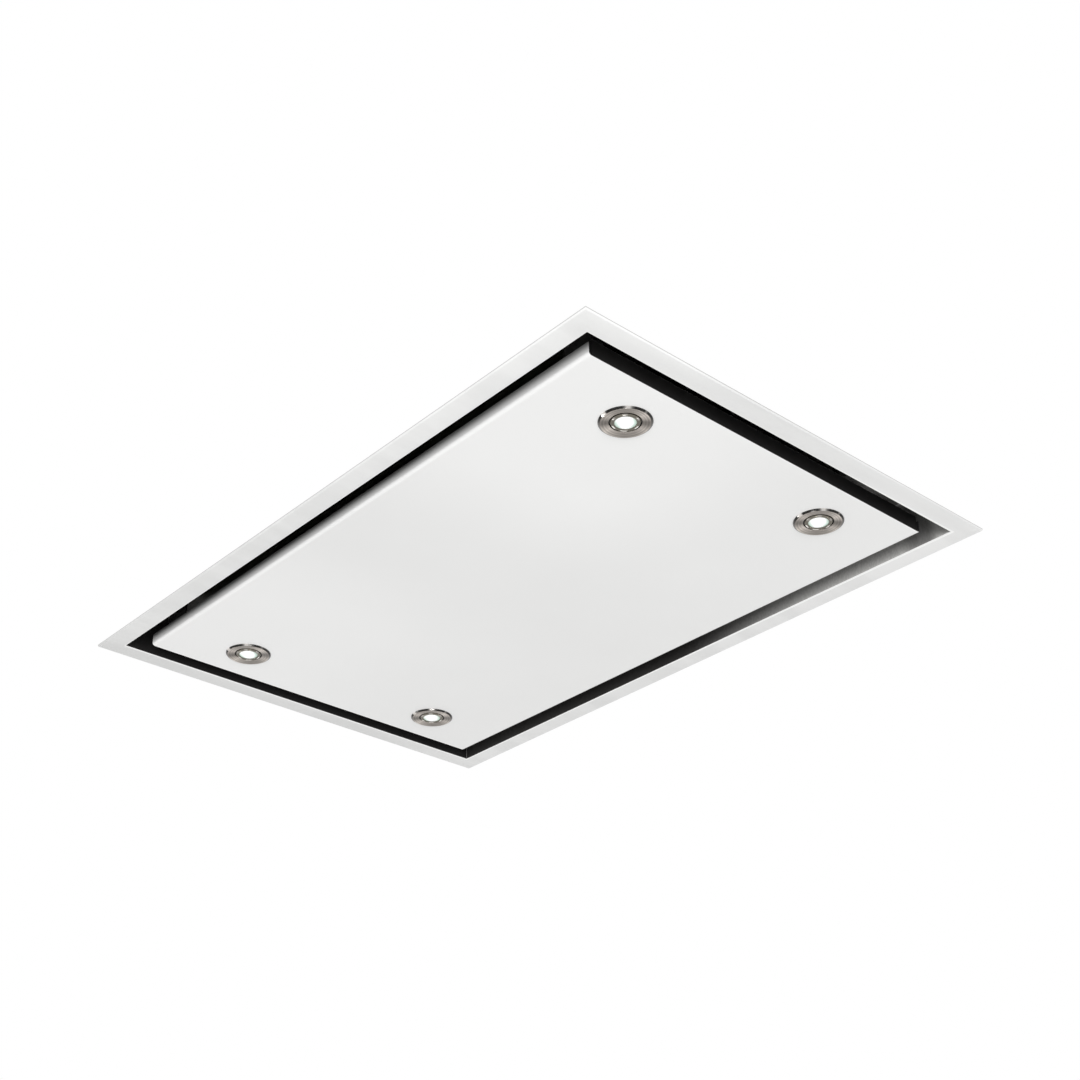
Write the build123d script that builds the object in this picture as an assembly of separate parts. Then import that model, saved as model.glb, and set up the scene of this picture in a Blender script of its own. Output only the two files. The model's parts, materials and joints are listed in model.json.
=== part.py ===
"""Ceiling range hood with a hinged perimeter-suction panel, as separate pieces.

X runs along the hood, Y across it, and Z up. The origin is the middle of the ceiling plane:
the trim frame hangs below it and the housing stands in the void above it. Millimetres.
"""
from build123d import *
import math
import os

# ---- trim frame, suction slot and panel face: what shows from below -------------------
FRAME_LENGTH = 900.0
FRAME_WIDTH = 600.0
FRAME_FACE_WIDTH = 25.0
FRAME_DEPTH = 3.0
FRAME_SHEET = 1.2
FRAME_BEND = 1.5
SEAL_WIDTH = 8.0
SEAL_FROM_EDGE = 2.5
SEAL_FOOT_GAP = 2.5
SLOT_WIDTH = 24.0
PANEL_SHEET = 1.2
PANEL_BEND = 4.0
PANEL_RIM_HEIGHT = 15.0
BACK_COVER_SHEET = 1.0
PANEL_DEPTH = 21.0
BACK_COVER_BEND = 2.0
BACK_COVER_SIDE_GAP = 0.4

# ---- liner, housing and deck ---------------------------------------------------------
LINER_SHEET = 1.0
LINER_TOP = 55.0
HOUSING_SHEET = 1.0
HOUSING_FLANGE = 12.0
COVER_SHEET = 1.0
COVER_LIP = 9.0
COVER_LIP_GAP = 0.2
COVER_SCREW_COUNT = 5
COVER_SCREW_FROM_END = 34.0
SWAGE_COUNT = 4
SWAGE_WIDTH = 26.0
SWAGE_HEIGHT = 3.0
SWAGE_DRAFT = 30.0
DECK_SHEET = 1.0
DECK_EDGE_DROP = 7.0

# ---- grease filters, their rails and latches -----------------------------------------
FILTER_COUNT = 3
FILTER_END_MARGIN = 45.0
FILTER_SIDE_MARGIN = 115.0
FILTER_THICKNESS = 9.0
FILTER_SHEET = 1.0
FILTER_BAR = 20.0
FILTER_GAP = 5.0
FILTER_SEAT = 12.0
FILTER_TOP_GAP = 0.3
MESH_EDGE_GAP = 1.0
MESH_SHEET = 0.8
MESH_PLEATS = 26
RAIL_SHEET = 1.0
RAIL_FLANGE = 12.0
RAIL_GAP = 0.5
REAR_LEDGE = 9.0
LEDGE_GAP = 0.3
RAIL_UNDER_SLOT = 2.6
LATCH_WIDTH = 36.0
LATCH_LENGTH = 34.0
LATCH_SHEET = 1.5
LATCH_ENGAGEMENT = 3.5
LATCH_GAP = 0.3
LATCH_PULL_DROP = 7.0
KEEPER_FROM_TIP = 13.0
KEEPER_WIDTH = 10.0
KEEPER_SHEET = 1.0

# ---- blower, motor and duct ----------------------------------------------------------
BLOWER_FROM_FRONT_WALL = 170.0
SCROLL_DECK_GAP = 32.0
SCROLL_HEIGHT = 110.0
SCROLL_SHEET = 1.5
SCROLL_START_RADIUS = 108.0
SCROLL_END_RADIUS = 165.0
SCROLL_CUTOFF_ANGLE = 35.0
SCROLL_POINTS = 9
OUTLET_FLAT_LENGTH = 185.0
OUTLET_LOWER_DROP = 9.0
OUTLET_CORNER = 6.0
INLET_RADIUS = 80.0
BELL_RADIUS = 10.0
BELL_SHEET = 1.5
IMPELLER_RADIUS = 95.0
IMPELLER_RING_WIDTH = 15.0
IMPELLER_BOTTOM_GAP = 6.0
IMPELLER_DISC_SETBACK = 2.0
IMPELLER_SHEET = 2.0
BLADE_COUNT = 36
BLADE_THICKNESS = 1.6
BLADE_LEAN = 4.0
ROTOR_RADIUS = 44.0
ROTOR_HEIGHT = 62.0
ROTOR_ROUND = 6.0
ROTOR_RECESS = 10.0
SHAFT_RADIUS = 5.0
RUNNING_GAP = 0.05
STATOR_FLANGE_RADIUS = 56.0
STATOR_FLANGE_THICKNESS = 4.0
STATOR_NECK_RADIUS = 30.0
ROTOR_AIR_GAP = 2.0
MOUNT_COUNT = 4
MOUNT_RADIUS = 11.0
MOUNT_CIRCLE = 88.0
MOUNT_WAIST = 8.0
COLLAR_RADIUS = 74.5
COLLAR_WALL = 1.5
COLLAR_OUTSIDE = 60.0
COLLAR_INSIDE = 46.0
COLLAR_FLANGE_WIDTH = 5.5
COLLAR_FLANGE = 1.5
COLLAR_LIP_GAP = 1.0
COLLAR_HOLE_GAP = 0.5
TRANSITION_LENGTH = 185.0
TRANSITION_WALL = 1.5
TRANSITION_SOCKET = 12.0
SOCKET_GAP = 0.3
FLAP_SETBACK = 26.0
FLAP_GAP = 1.6
FLAP_SHEET = 1.2
FLAP_PIN_RADIUS = 2.0
FLAP_EYE_RADIUS = 4.0
FLAP_EYE_GAP = 0.3
FLAP_EYE_LENGTH = 17.5
PIN_END_GAP = 0.4

# ---- electrical boxes on the deck ----------------------------------------------------
BOX_WALL = 2.5
CONTROL_BOX_LENGTH = 150.0
CONTROL_BOX_WIDTH = 80.0
CONTROL_BOX_HEIGHT = 44.0
CONTROL_BOX_FROM_END = 150.0
ELECTRICS_GAP = 15.0
DRIVER_LENGTH = 120.0
DRIVER_WIDTH = 50.0
DRIVER_HEIGHT = 30.0
DRIVER_GROOVE_COUNT = 8
DRIVER_GROOVE_WIDTH = 4.5
DRIVER_GROOVE_MARGIN = 5.0
CAPACITOR_RADIUS = 17.0
CAPACITOR_LENGTH = 70.0
TAB_THICKNESS = 1.0
TAB_WIDTH = 6.0
TAB_HEIGHT = 9.0
TAB_SPREAD = 12.0
GLAND_FROM_BOX = 48.0
GLAND_NUT_RADIUS = 10.0
GLAND_NUT_HEIGHT = 6.0
GLAND_CAP_RADIUS = 8.5
GLAND_CAP_ROUND = 3.0
GLAND_HEIGHT = 16.0
GLAND_BORE = 4.0
GLAND_SHANK_RADIUS = 7.8
GLAND_SHANK_LENGTH = 7.0

# ---- hanging, hinging and catching ---------------------------------------------------
ROD_HOLE_RADIUS = 4.5
ROD_FROM_END = 47.0
ROD_FROM_SIDE = 57.0
HANGER_WIDTH = 40.0
HANGER_FOOT = 26.0
HANGER_RISE = 16.0
HANGER_SHEET = 3.0
HANGER_SCREW_SPREAD = 20.0
HINGE_FROM_PANEL_END = 102.0
HINGE_FROM_PANEL_EDGE = 17.0
HINGE_COVER_GAP = 0.8
HINGE_PIN_RADIUS = 2.5
HINGE_EYE_RADIUS = 5.2
HINGE_ARM_SHEET = 3.0
HINGE_FOOT = 24.0
LUG_SHEET = 2.5
LUG_GAP = 0.4
PIN_PRESS_GAP = 0.02
PIN_HEAD = 2.0
PIN_TAIL = 1.0
PIN_HEAD_STEP = 1.0
CATCH_FROM_PANEL_END = 30.0
CATCH_FROM_PANEL_EDGE = 14.0
CATCH_SHEET = 1.5
CATCH_FLANGE = 12.0
CATCH_OVER_STRIKE = 2.8
MAGNET_LENGTH = 40.0
MAGNET_WIDTH = 14.0
MAGNET_HEIGHT = 10.0
STRIKE_THICKNESS = 2.0
STRIKE_GAP = 0.3
STRIKE_CORNER = 2.0
MAGNET_CHAMFER = 1.0

# ---- spots -----------------------------------------------------------------------------
SPOT_FROM_PANEL_END = 58.0
SPOT_FROM_PANEL_EDGE = 104.0
BEZEL_RADIUS = 28.0
BEZEL_PROUD = 2.0
BEZEL_EDGE = 1.2
BEZEL_LIP = 1.4
BEZEL_TUBE_WALL = 2.7
BEZEL_HEIGHT = 13.0
PANEL_HOLE_GAP = 0.3
BALL_RADIUS = 17.4
BALL_GAP = 0.4
BALL_OVER_FACE = 4.0
BALL_FACE_RECESS = 0.5
BALL_HEIGHT = 10.5
LENS_RADIUS = 11.7
LENS_THICKNESS = 1.6
LENS_RECESS = 0.6
LENS_SEAT_GAP = 0.1
LAMP_RADIUS = 10.5
LAMP_HEIGHT = 12.9
TRUNNION_RADIUS = 1.0
CAN_WALL = 1.2
CAN_COVER_GAP = 1.0
CAN_FIN_COUNT = 8
CAN_FIN_REACH = 2.4

# ---- fasteners -------------------------------------------------------------------------
SCREW_RADIUS = 1.9
SCREW_HOLE_GAP = 0.1
SCREW_HEAD_RADIUS = 3.8
SCREW_HEAD_HEIGHT = 2.2
SCREW_LENGTH = 7.0

# ---- how far a cutter runs past what it cuts -----------------------------------------------
CUT = 1.0

# ---- worked out from the above ---------------------------------------------------------
FACE_Z = -FRAME_DEPTH
OPEN_X = FRAME_LENGTH / 2 - FRAME_FACE_WIDTH
OPEN_Y = FRAME_WIDTH / 2 - FRAME_FACE_WIDTH
PANEL_X = OPEN_X - SLOT_WIDTH
PANEL_Y = OPEN_Y - SLOT_WIDTH
FRAME_TOP = FACE_Z + FRAME_SHEET
PANEL_TOP = FACE_Z + PANEL_SHEET
BACK_COVER_TOP = FACE_Z + PANEL_DEPTH
LINER_FOOT = FRAME_FACE_WIDTH - SEAL_FROM_EDGE - SEAL_WIDTH - SEAL_FOOT_GAP
INNER_X = OPEN_X + LINER_SHEET
INNER_Y = OPEN_Y + LINER_SHEET
OUTER_X = INNER_X + HOUSING_SHEET
OUTER_Y = INNER_Y + HOUSING_SHEET
HOUSING_BOTTOM = FRAME_TOP + LINER_SHEET
DECK_Z = LINER_TOP + DECK_EDGE_DROP
DECK_TOP = DECK_Z + DECK_SHEET
SCROLL_BOTTOM = DECK_TOP + SCROLL_DECK_GAP
SCROLL_TOP = SCROLL_BOTTOM + SCROLL_HEIGHT
DUCT_Z = (SCROLL_BOTTOM + SCROLL_TOP) / 2
COLLAR_FLANGE_RADIUS = COLLAR_RADIUS + COLLAR_FLANGE_WIDTH
HOUSING_TOP = DUCT_Z + COLLAR_FLANGE_RADIUS + COLLAR_LIP_GAP + COVER_LIP
FLANGE_Z = HOUSING_TOP - HOUSING_SHEET
LID_TOP = HOUSING_TOP + COVER_SHEET
SCREW_HOLE = SCREW_RADIUS + SCREW_HOLE_GAP

COVER_SCREW_X = INNER_X - COVER_SCREW_FROM_END
COVER_SCREW_Y = INNER_Y - HOUSING_FLANGE / 2
COVER_SCREW_PITCH = 2 * COVER_SCREW_X / (COVER_SCREW_COUNT - 1)
COVER_SCREWS = [(i * COVER_SCREW_PITCH - COVER_SCREW_X, side * COVER_SCREW_Y)
                for i in range(COVER_SCREW_COUNT) for side in (-1, 1)]
ROD_X = OUTER_X - ROD_FROM_END
ROD_Y = OUTER_Y - ROD_FROM_SIDE
HANGER_REACH = HANGER_FOOT + HANGER_SHEET

FILTER_TOP = DECK_Z - FILTER_TOP_GAP
FILTER_BOTTOM = FILTER_TOP - FILTER_THICKNESS
FILTER_PITCH = (2 * (OPEN_X - FILTER_END_MARGIN) + FILTER_GAP) / FILTER_COUNT
FILTER_LENGTH = FILTER_PITCH - FILTER_GAP
FILTER_DEPTH = 2 * (OPEN_Y - FILTER_SIDE_MARGIN)
FILTER_X = [(i - (FILTER_COUNT - 1) / 2) * FILTER_PITCH for i in range(FILTER_COUNT)]
FILTER_NAMES = ["left", "middle", "right"]
RAIL_Y = FILTER_DEPTH / 2 + RAIL_GAP
RAIL_LENGTH = FILTER_COUNT * FILTER_PITCH
RAIL_BACK = RAIL_Y + RAIL_SHEET + RAIL_FLANGE
RAIL_SCREW_Y = RAIL_Y + RAIL_SHEET + RAIL_FLANGE / 2
LATCH_BOTTOM = FILTER_BOTTOM - LATCH_GAP - LATCH_SHEET
LATCH_FRONT = -RAIL_Y - RAIL_SHEET - LATCH_ENGAGEMENT
KEEPER_Y = LATCH_FRONT + KEEPER_FROM_TIP

BLOWER_X = OUTER_X - COLLAR_INSIDE - TRANSITION_LENGTH - OUTLET_FLAT_LENGTH
BLOWER_Y = -INNER_Y + BLOWER_FROM_FRONT_WALL
OUTLET_LOW = SCROLL_START_RADIUS * math.sin(math.radians(SCROLL_CUTOFF_ANGLE)) - OUTLET_LOWER_DROP
OUTLET_X = BLOWER_X + OUTLET_FLAT_LENGTH
DUCT_Y = BLOWER_Y + (OUTLET_LOW + SCROLL_END_RADIUS) / 2
ROTOR_TOP = SCROLL_TOP - SCROLL_SHEET - STATOR_FLANGE_THICKNESS - ROTOR_AIR_GAP
ROTOR_BOTTOM = ROTOR_TOP - ROTOR_HEIGHT
IMPELLER_BOTTOM = SCROLL_BOTTOM + BELL_RADIUS + IMPELLER_BOTTOM_GAP - SCROLL_SHEET
IMPELLER_TOP = ROTOR_TOP - IMPELLER_DISC_SETBACK
COLLAR_START = OUTER_X - COLLAR_INSIDE
COLLAR_END = OUTER_X + COLLAR_OUTSIDE
FLAP_X = OUTER_X - FLAP_SETBACK

SHELF_Y = (RAIL_BACK + INNER_Y) / 2
CONTROL_BOX_X = -INNER_X + CONTROL_BOX_FROM_END + CONTROL_BOX_LENGTH / 2
DRIVER_X = CONTROL_BOX_X + (CONTROL_BOX_LENGTH + DRIVER_LENGTH) / 2 + ELECTRICS_GAP
CAPACITOR_X = DRIVER_X + DRIVER_LENGTH / 2 + ELECTRICS_GAP + CAPACITOR_RADIUS
GLAND_X = CONTROL_BOX_X + GLAND_FROM_BOX

HINGE_X = PANEL_X - HINGE_FROM_PANEL_END
HINGE_Y = PANEL_Y - HINGE_FROM_PANEL_EDGE
HINGE_Z = BACK_COVER_TOP + HINGE_EYE_RADIUS + HINGE_COVER_GAP
HINGE_SCREW_X = HINGE_X + HINGE_ARM_SHEET / 2 + HINGE_FOOT / 2
LUG_INNER = HINGE_ARM_SHEET / 2 + LUG_GAP
CATCH_X = PANEL_X - CATCH_FROM_PANEL_END
CATCH_Y = -(PANEL_Y - CATCH_FROM_PANEL_EDGE)
CATCH_SCREW_Y = CATCH_Y + CATCH_SHEET + CATCH_FLANGE / 2
MAGNET_Y = CATCH_Y + CATCH_SHEET
MAGNET_BOTTOM = BACK_COVER_TOP + STRIKE_THICKNESS + STRIKE_GAP

SPOT_X = PANEL_X - SPOT_FROM_PANEL_END
SPOT_Y = PANEL_Y - SPOT_FROM_PANEL_EDGE
SPOTS = [(-SPOT_X, -SPOT_Y), (SPOT_X, -SPOT_Y), (SPOT_X, SPOT_Y), (-SPOT_X, SPOT_Y)]
SPOT_NAMES = ["front_left", "front_right", "rear_right", "rear_left"]
BEZEL_BOTTOM = FACE_Z - BEZEL_PROUD
BEZEL_TUBE_TOP = BEZEL_BOTTOM + BEZEL_HEIGHT
BEZEL_MOUTH_RADIUS = BALL_RADIUS - BALL_GAP
BEZEL_BORE_RADIUS = BALL_RADIUS + BALL_GAP
BEZEL_TUBE_RADIUS = BEZEL_BORE_RADIUS + BEZEL_TUBE_WALL
BALL_CENTRE = FACE_Z + BALL_OVER_FACE
BALL_BOTTOM = BEZEL_BOTTOM + BALL_FACE_RECESS
BALL_TOP = BALL_BOTTOM + BALL_HEIGHT
LENS_BOTTOM = BALL_BOTTOM + LENS_RECESS
LENS_TOP = LENS_BOTTOM + LENS_THICKNESS
LAMP_TOP = LENS_BOTTOM + LAMP_HEIGHT
CAN_TOP = BACK_COVER_TOP - BACK_COVER_SHEET - CAN_COVER_GAP
LOW = (Align.CENTER, Align.CENTER, Align.MIN)

pieces = {}


def block(x0, x1, y0, y1, z0, z1):
    """A box from its low and high corners."""
    return Pos(x0, y0, z0) * Box(x1 - x0, y1 - y0, z1 - z0, align=(Align.MIN,) * 3)


def rod(x, y, z0, z1, radius):
    """An upright cylinder between two heights."""
    return Pos(x, y, z0) * Cylinder(radius, z1 - z0, align=LOW)


def rod_x(x0, x1, y, z, radius):
    """A cylinder along X."""
    return Pos(x0, y, z) * Rot(0, 90, 0) * Cylinder(radius, x1 - x0, align=LOW)


def folded(points, thickness, bend=0.0):
    """The face of a bent sheet: its thickness lies on the left of the given line."""
    line = FilletPolyline(*points, radius=bend) if bend else Polyline(*points)
    edge = offset(line, amount=thickness, side=Side.LEFT, closed=True, kind=Kind.INTERSECTION)
    return make_face(edge.edges())


def along_x(face, x0, x1):
    """A profile drawn as (y, z), extruded from x0 to x1."""
    return extrude(Plane(origin=(x0, 0, 0), x_dir=(0, 1, 0), z_dir=(1, 0, 0)) * face, x1 - x0)


def along_y(face, y0, y1):
    """A profile drawn as (x, z), extruded from y0 to y1."""
    start = Plane(origin=(0, y1, 0), x_dir=(1, 0, 0), z_dir=(0, -1, 0))
    return extrude(start * face, y1 - y0)


def mitred_ring(face, half_x, half_y):
    """A profile drawn as (inward, up), carried round a rectangle with mitred corners."""
    corners = [(-half_x, -half_y), (half_x, -half_y), (half_x, half_y), (-half_x, half_y)]
    path = Polyline(*[(x, y, 0) for x, y in corners], close=True)
    start = Plane(origin=(-half_x, -half_y, 0), x_dir=(0, 1, 0), z_dir=(1, 0, 0))
    return sweep(start * face, path, transition=Transition.RIGHT)


def screw(x, y, z):
    """A pan-head screw, its head standing on z and its shank going down."""
    head = rod(x, y, z, z + SCREW_HEAD_HEIGHT, SCREW_HEAD_RADIUS)
    return head + rod(x, y, z - SCREW_LENGTH, z, SCREW_RADIUS)


def group(solids):
    """Several separate solids as one node."""
    return Compound(children=[s.solid() if len(s.solids()) == 1 else s for s in solids])


# ---- trim frame and liner --------------------------------------------------------------
def make_trim_frame():
    """A mitred ring of folded sheet: an upstand at the ceiling, then the visible face."""
    face = folded([(0, 0), (0, FACE_Z), (FRAME_FACE_WIDTH, FACE_Z)], FRAME_SHEET, FRAME_BEND)
    return mitred_ring(face, FRAME_LENGTH / 2, FRAME_WIDTH / 2)


def make_ceiling_seal():
    """A foam strip inside the upstand, level with the ceiling."""
    strip = Pos(SEAL_FROM_EDGE + SEAL_WIDTH / 2, FRAME_TOP / 2) * Rectangle(SEAL_WIDTH, -FRAME_TOP)
    return mitred_ring(strip, FRAME_LENGTH / 2, FRAME_WIDTH / 2)


def make_slot_liner():
    """The dark wall of the suction slot, with a foot that lies on the trim frame."""
    line = [(-LINER_FOOT, FRAME_TOP), (0, FRAME_TOP), (0, LINER_TOP)]
    return mitred_ring(folded(line, LINER_SHEET), OPEN_X, OPEN_Y)


# ---- housing ---------------------------------------------------------------------------
def make_long_wall(side):
    """Front or rear wall: a sheet whose top edge turns inwards for the cover."""
    line = [(-OUTER_Y, HOUSING_BOTTOM), (-OUTER_Y, HOUSING_TOP),
            (-INNER_Y + HOUSING_FLANGE, HOUSING_TOP)]
    sheet = folded(line[::-1], HOUSING_SHEET)
    wall = along_x(sheet, -OUTER_X, OUTER_X)
    for x0, x1 in ((-OUTER_X - CUT, -INNER_X), (INNER_X, OUTER_X + CUT)):
        wall -= block(x0, x1, -INNER_Y, -INNER_Y + HOUSING_FLANGE + CUT, FLANGE_Z - CUT,
                      HOUSING_TOP + CUT)
    for x, y in COVER_SCREWS:
        if y < 0:
            wall -= rod(x, y, FLANGE_Z - CUT, HOUSING_TOP + CUT, SCREW_HOLE)
    return wall if side < 0 else Rot(0, 0, 180) * wall


def make_short_wall():
    """Left wall: it stands between the long walls, with a flange up each corner."""
    wall = block(-OUTER_X, -INNER_X, -INNER_Y, INNER_Y, HOUSING_BOTTOM, HOUSING_TOP)
    inward = -INNER_X + HOUSING_FLANGE
    top_y = INNER_Y - HOUSING_FLANGE
    wall += block(-INNER_X, inward, -top_y, top_y, FLANGE_Z, HOUSING_TOP)
    for side in (-1, 1):
        low, high = sorted((side * INNER_Y, side * (INNER_Y - HOUSING_SHEET)))
        wall += block(-INNER_X, inward, low, high, DECK_TOP, FLANGE_Z)
    return wall


def make_outlet_wall():
    """Right wall: the left one turned round, with the hole of the outlet collar."""
    hole = rod_x(INNER_X - CUT, OUTER_X + CUT, DUCT_Y, DUCT_Z, COLLAR_RADIUS + COLLAR_HOLE_GAP)
    return Rot(0, 0, 180) * make_short_wall() - hole


def make_top_cover():
    """The lid: lips down outside the walls, swages across it, holes for what it carries."""
    lip_x = OUTER_X + COVER_LIP_GAP + COVER_SHEET
    lip_y = OUTER_Y + COVER_LIP_GAP + COVER_SHEET
    lid = block(-lip_x, lip_x, -lip_y, lip_y, HOUSING_TOP - COVER_LIP, LID_TOP)
    inside_x, inside_y = lip_x - COVER_SHEET, lip_y - COVER_SHEET
    lid -= block(-inside_x, inside_x, -inside_y, inside_y, HOUSING_TOP - COVER_LIP - CUT,
                 HOUSING_TOP)
    lid = fillet(lid.edges().filter_by(Axis.Z).group_by(SortBy.LENGTH)[0], COVER_SHEET / 2)
    pitch = 2 * ROD_X / (SWAGE_COUNT + 1)
    length = 2 * ROD_Y - HANGER_WIDTH
    for i in range(SWAGE_COUNT):
        x = (i - (SWAGE_COUNT - 1) / 2) * pitch
        outer = SlotOverall(length, SWAGE_WIDTH, rotation=90)
        inner = offset(outer, -COVER_SHEET)
        lid += Pos(x, 0, LID_TOP) * extrude(outer, SWAGE_HEIGHT, taper=SWAGE_DRAFT)
        lid -= Pos(x, 0, HOUSING_TOP) * extrude(inner, SWAGE_HEIGHT, taper=SWAGE_DRAFT)
    for x, y in COVER_SCREWS + hanger_screws():
        lid -= rod(x, y, HOUSING_TOP - CUT, LID_TOP + CUT, SCREW_HOLE)
    lid -= rod(GLAND_X, SHELF_Y, HOUSING_TOP - CUT, LID_TOP + CUT, GLAND_SHANK_RADIUS + RUNNING_GAP)
    return lid


def make_cover_screws():
    """The screws that hold the lid to the walls' flanges."""
    return group([screw(x, y, LID_TOP) for x, y in COVER_SCREWS])


# ---- hangers ---------------------------------------------------------------------------
def hanger_screws():
    """Where the two screws of each hanger go."""
    x = ROD_X - HANGER_REACH
    return [(sx * x, sy * ROD_Y + dy) for sx in (-1, 1) for sy in (-1, 1)
            for dy in (-HANGER_SCREW_SPREAD / 2, HANGER_SCREW_SPREAD / 2)]


def make_hangers():
    """Four Z-shaped brackets on the lid, each with a hole for a threaded rod."""
    low, high = LID_TOP, LID_TOP + HANGER_RISE
    line = [(ROD_X - HANGER_REACH - HANGER_FOOT / 2, low), (ROD_X - HANGER_FOOT / 2, low),
            (ROD_X - HANGER_FOOT / 2, high), (ROD_X + HANGER_FOOT / 2, high)]
    half = HANGER_WIDTH / 2
    one = along_y(folded(line, HANGER_SHEET), ROD_Y - half, ROD_Y + half)
    one -= rod(ROD_X, ROD_Y, high - CUT, high + HANGER_SHEET + CUT, ROD_HOLE_RADIUS)
    for x, y in hanger_screws():
        if x > 0 and y > 0:
            one -= rod(x, y, low - CUT, low + HANGER_SHEET + CUT, SCREW_HOLE)
    one = fillet(one.edges().filter_by(Axis.Z).group_by(Axis.X)[-1], HANGER_SHEET)
    across = mirror(one, about=Plane.XZ)
    return group([one, across, mirror(one, about=Plane.YZ), mirror(across, about=Plane.YZ)])


def make_hanger_screws():
    """The screws through the hangers' feet into the lid."""
    return group([screw(x, y, LID_TOP + HANGER_SHEET) for x, y in hanger_screws()])


# ---- filter deck, rails and filters ------------------------------------------------------
def make_filter_deck():
    """The shelf over the plenum: its edges turn down on to the liner, one opening a filter."""
    deck = block(-INNER_X, INNER_X, -INNER_Y, INNER_Y, LINER_TOP, DECK_TOP)
    deck -= block(-OPEN_X, OPEN_X, -OPEN_Y, OPEN_Y, LINER_TOP - CUT, DECK_Z)
    half_x, half_y = FILTER_LENGTH / 2 - FILTER_SEAT, FILTER_DEPTH / 2 - FILTER_SEAT
    for x in FILTER_X:
        deck -= block(x - half_x, x + half_x, -half_y, half_y, DECK_Z - CUT, DECK_TOP + CUT)
    for x, y in deck_screws():
        deck -= rod(x, y, DECK_Z - CUT, DECK_TOP + CUT, SCREW_HOLE)
    return deck


def deck_screws():
    """Where the rails, hinge brackets and catch brackets are screwed to the deck."""
    rails = [(x, side * RAIL_SCREW_Y) for x in FILTER_X for side in (-1, 1)]
    hinges = [(side * HINGE_SCREW_X, HINGE_Y) for side in (-1, 1)]
    catches = [(side * CATCH_X, CATCH_SCREW_Y) for side in (-1, 1)]
    return rails + hinges + catches


def make_deck_screws():
    """Screws that come down through the deck into the brackets under it."""
    return group([screw(x, y, DECK_TOP) for x, y in deck_screws()])


def make_front_rail():
    """The rail in front of the filters: its web has one slot for each latch tongue."""
    low = LATCH_BOTTOM - LATCH_GAP
    line = [(-RAIL_Y, low - RAIL_UNDER_SLOT), (-RAIL_Y, DECK_Z), (-RAIL_BACK, DECK_Z)]
    rail = along_x(folded(line, RAIL_SHEET), -RAIL_LENGTH / 2, RAIL_LENGTH / 2)
    half = LATCH_WIDTH / 2 + LATCH_GAP
    for x in FILTER_X:
        rail -= block(x - half, x + half, -RAIL_BACK, -RAIL_Y + CUT, low, FILTER_BOTTOM)
        rail -= rod(x, -RAIL_SCREW_Y, DECK_Z - RAIL_SHEET - CUT, DECK_Z + CUT, SCREW_HOLE)
    return rail


def make_rear_rail():
    """The rail behind the filters: a ledge under their rear edge."""
    ledge = FILTER_BOTTOM - LEDGE_GAP - RAIL_SHEET
    line = [(RAIL_Y + RAIL_SHEET - REAR_LEDGE, ledge), (RAIL_Y + RAIL_SHEET, ledge),
            (RAIL_Y + RAIL_SHEET, DECK_Z - RAIL_SHEET), (RAIL_BACK, DECK_Z - RAIL_SHEET)]
    rail = along_x(folded(line, RAIL_SHEET), -RAIL_LENGTH / 2, RAIL_LENGTH / 2)
    for x in FILTER_X:
        rail -= rod(x, RAIL_SCREW_Y, DECK_Z - RAIL_SHEET - CUT, DECK_Z + CUT, SCREW_HOLE)
    return rail


def make_filter_frame(x):
    """A filter's frame: a hollow channel round its window, which holds the mesh's edge."""
    half_x, half_y = FILTER_LENGTH / 2, FILTER_DEPTH / 2
    frame = block(x - half_x, x + half_x, -half_y, half_y, FILTER_BOTTOM, FILTER_TOP)
    in_x, in_y = half_x - FILTER_SHEET, half_y - FILTER_SHEET
    frame -= block(x - in_x, x + in_x, -in_y, in_y, FILTER_BOTTOM + FILTER_SHEET,
                   FILTER_TOP - FILTER_SHEET)
    win_x, win_y = half_x - FILTER_BAR, half_y - FILTER_BAR
    window = block(x - win_x, x + win_x, -win_y, win_y, FILTER_BOTTOM - CUT, FILTER_TOP + CUT)
    return frame - window


def make_filter_mesh(x):
    """A filter's pleated aluminium mesh, as one folded sheet."""
    half_x = FILTER_LENGTH / 2 - FILTER_SHEET - MESH_EDGE_GAP
    half_y = FILTER_DEPTH / 2 - FILTER_SHEET - MESH_EDGE_GAP
    low = FILTER_BOTTOM + FILTER_SHEET + MESH_EDGE_GAP / 2
    high = FILTER_TOP - FILTER_SHEET - MESH_EDGE_GAP / 2 - MESH_SHEET
    step = 2 * half_x / MESH_PLEATS
    under = [(x - half_x + i * step, low if i % 2 else high) for i in range(MESH_PLEATS + 1)]
    over = [(px, pz + MESH_SHEET) for px, pz in reversed(under)]
    face = make_face(Polyline(*under, *over, close=True))
    return along_y(face, -half_y, half_y)


def make_keepers():
    """A strap under each filter's front bar, which guides the latch."""
    half = LATCH_WIDTH / 2 + LATCH_GAP
    low = LATCH_BOTTOM - LATCH_GAP
    straps = []
    for x in FILTER_X:
        strap = block(x - half - KEEPER_SHEET, x + half + KEEPER_SHEET, KEEPER_Y,
                      KEEPER_Y + KEEPER_WIDTH, low - KEEPER_SHEET, FILTER_BOTTOM)
        strap -= block(x - half, x + half, KEEPER_Y - CUT, KEEPER_Y + KEEPER_WIDTH + CUT, low,
                       FILTER_BOTTOM + CUT)
        straps.append(strap)
    return group(straps)


def make_latch(x):
    """A sliding latch: a tongue through the front rail and a finger pull turned down."""
    half = LATCH_WIDTH / 2
    rear = LATCH_FRONT + LATCH_LENGTH
    latch = block(x - half, x + half, LATCH_FRONT, rear, LATCH_BOTTOM, LATCH_BOTTOM + LATCH_SHEET)
    latch += block(x - half, x + half, rear - LATCH_SHEET, rear, LATCH_BOTTOM - LATCH_PULL_DROP,
                   LATCH_BOTTOM)
    corners = latch.edges().filter_by(Axis.Z).group_by(Axis.Y)[0]
    return fillet(corners, LATCH_ENGAGEMENT)


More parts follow.
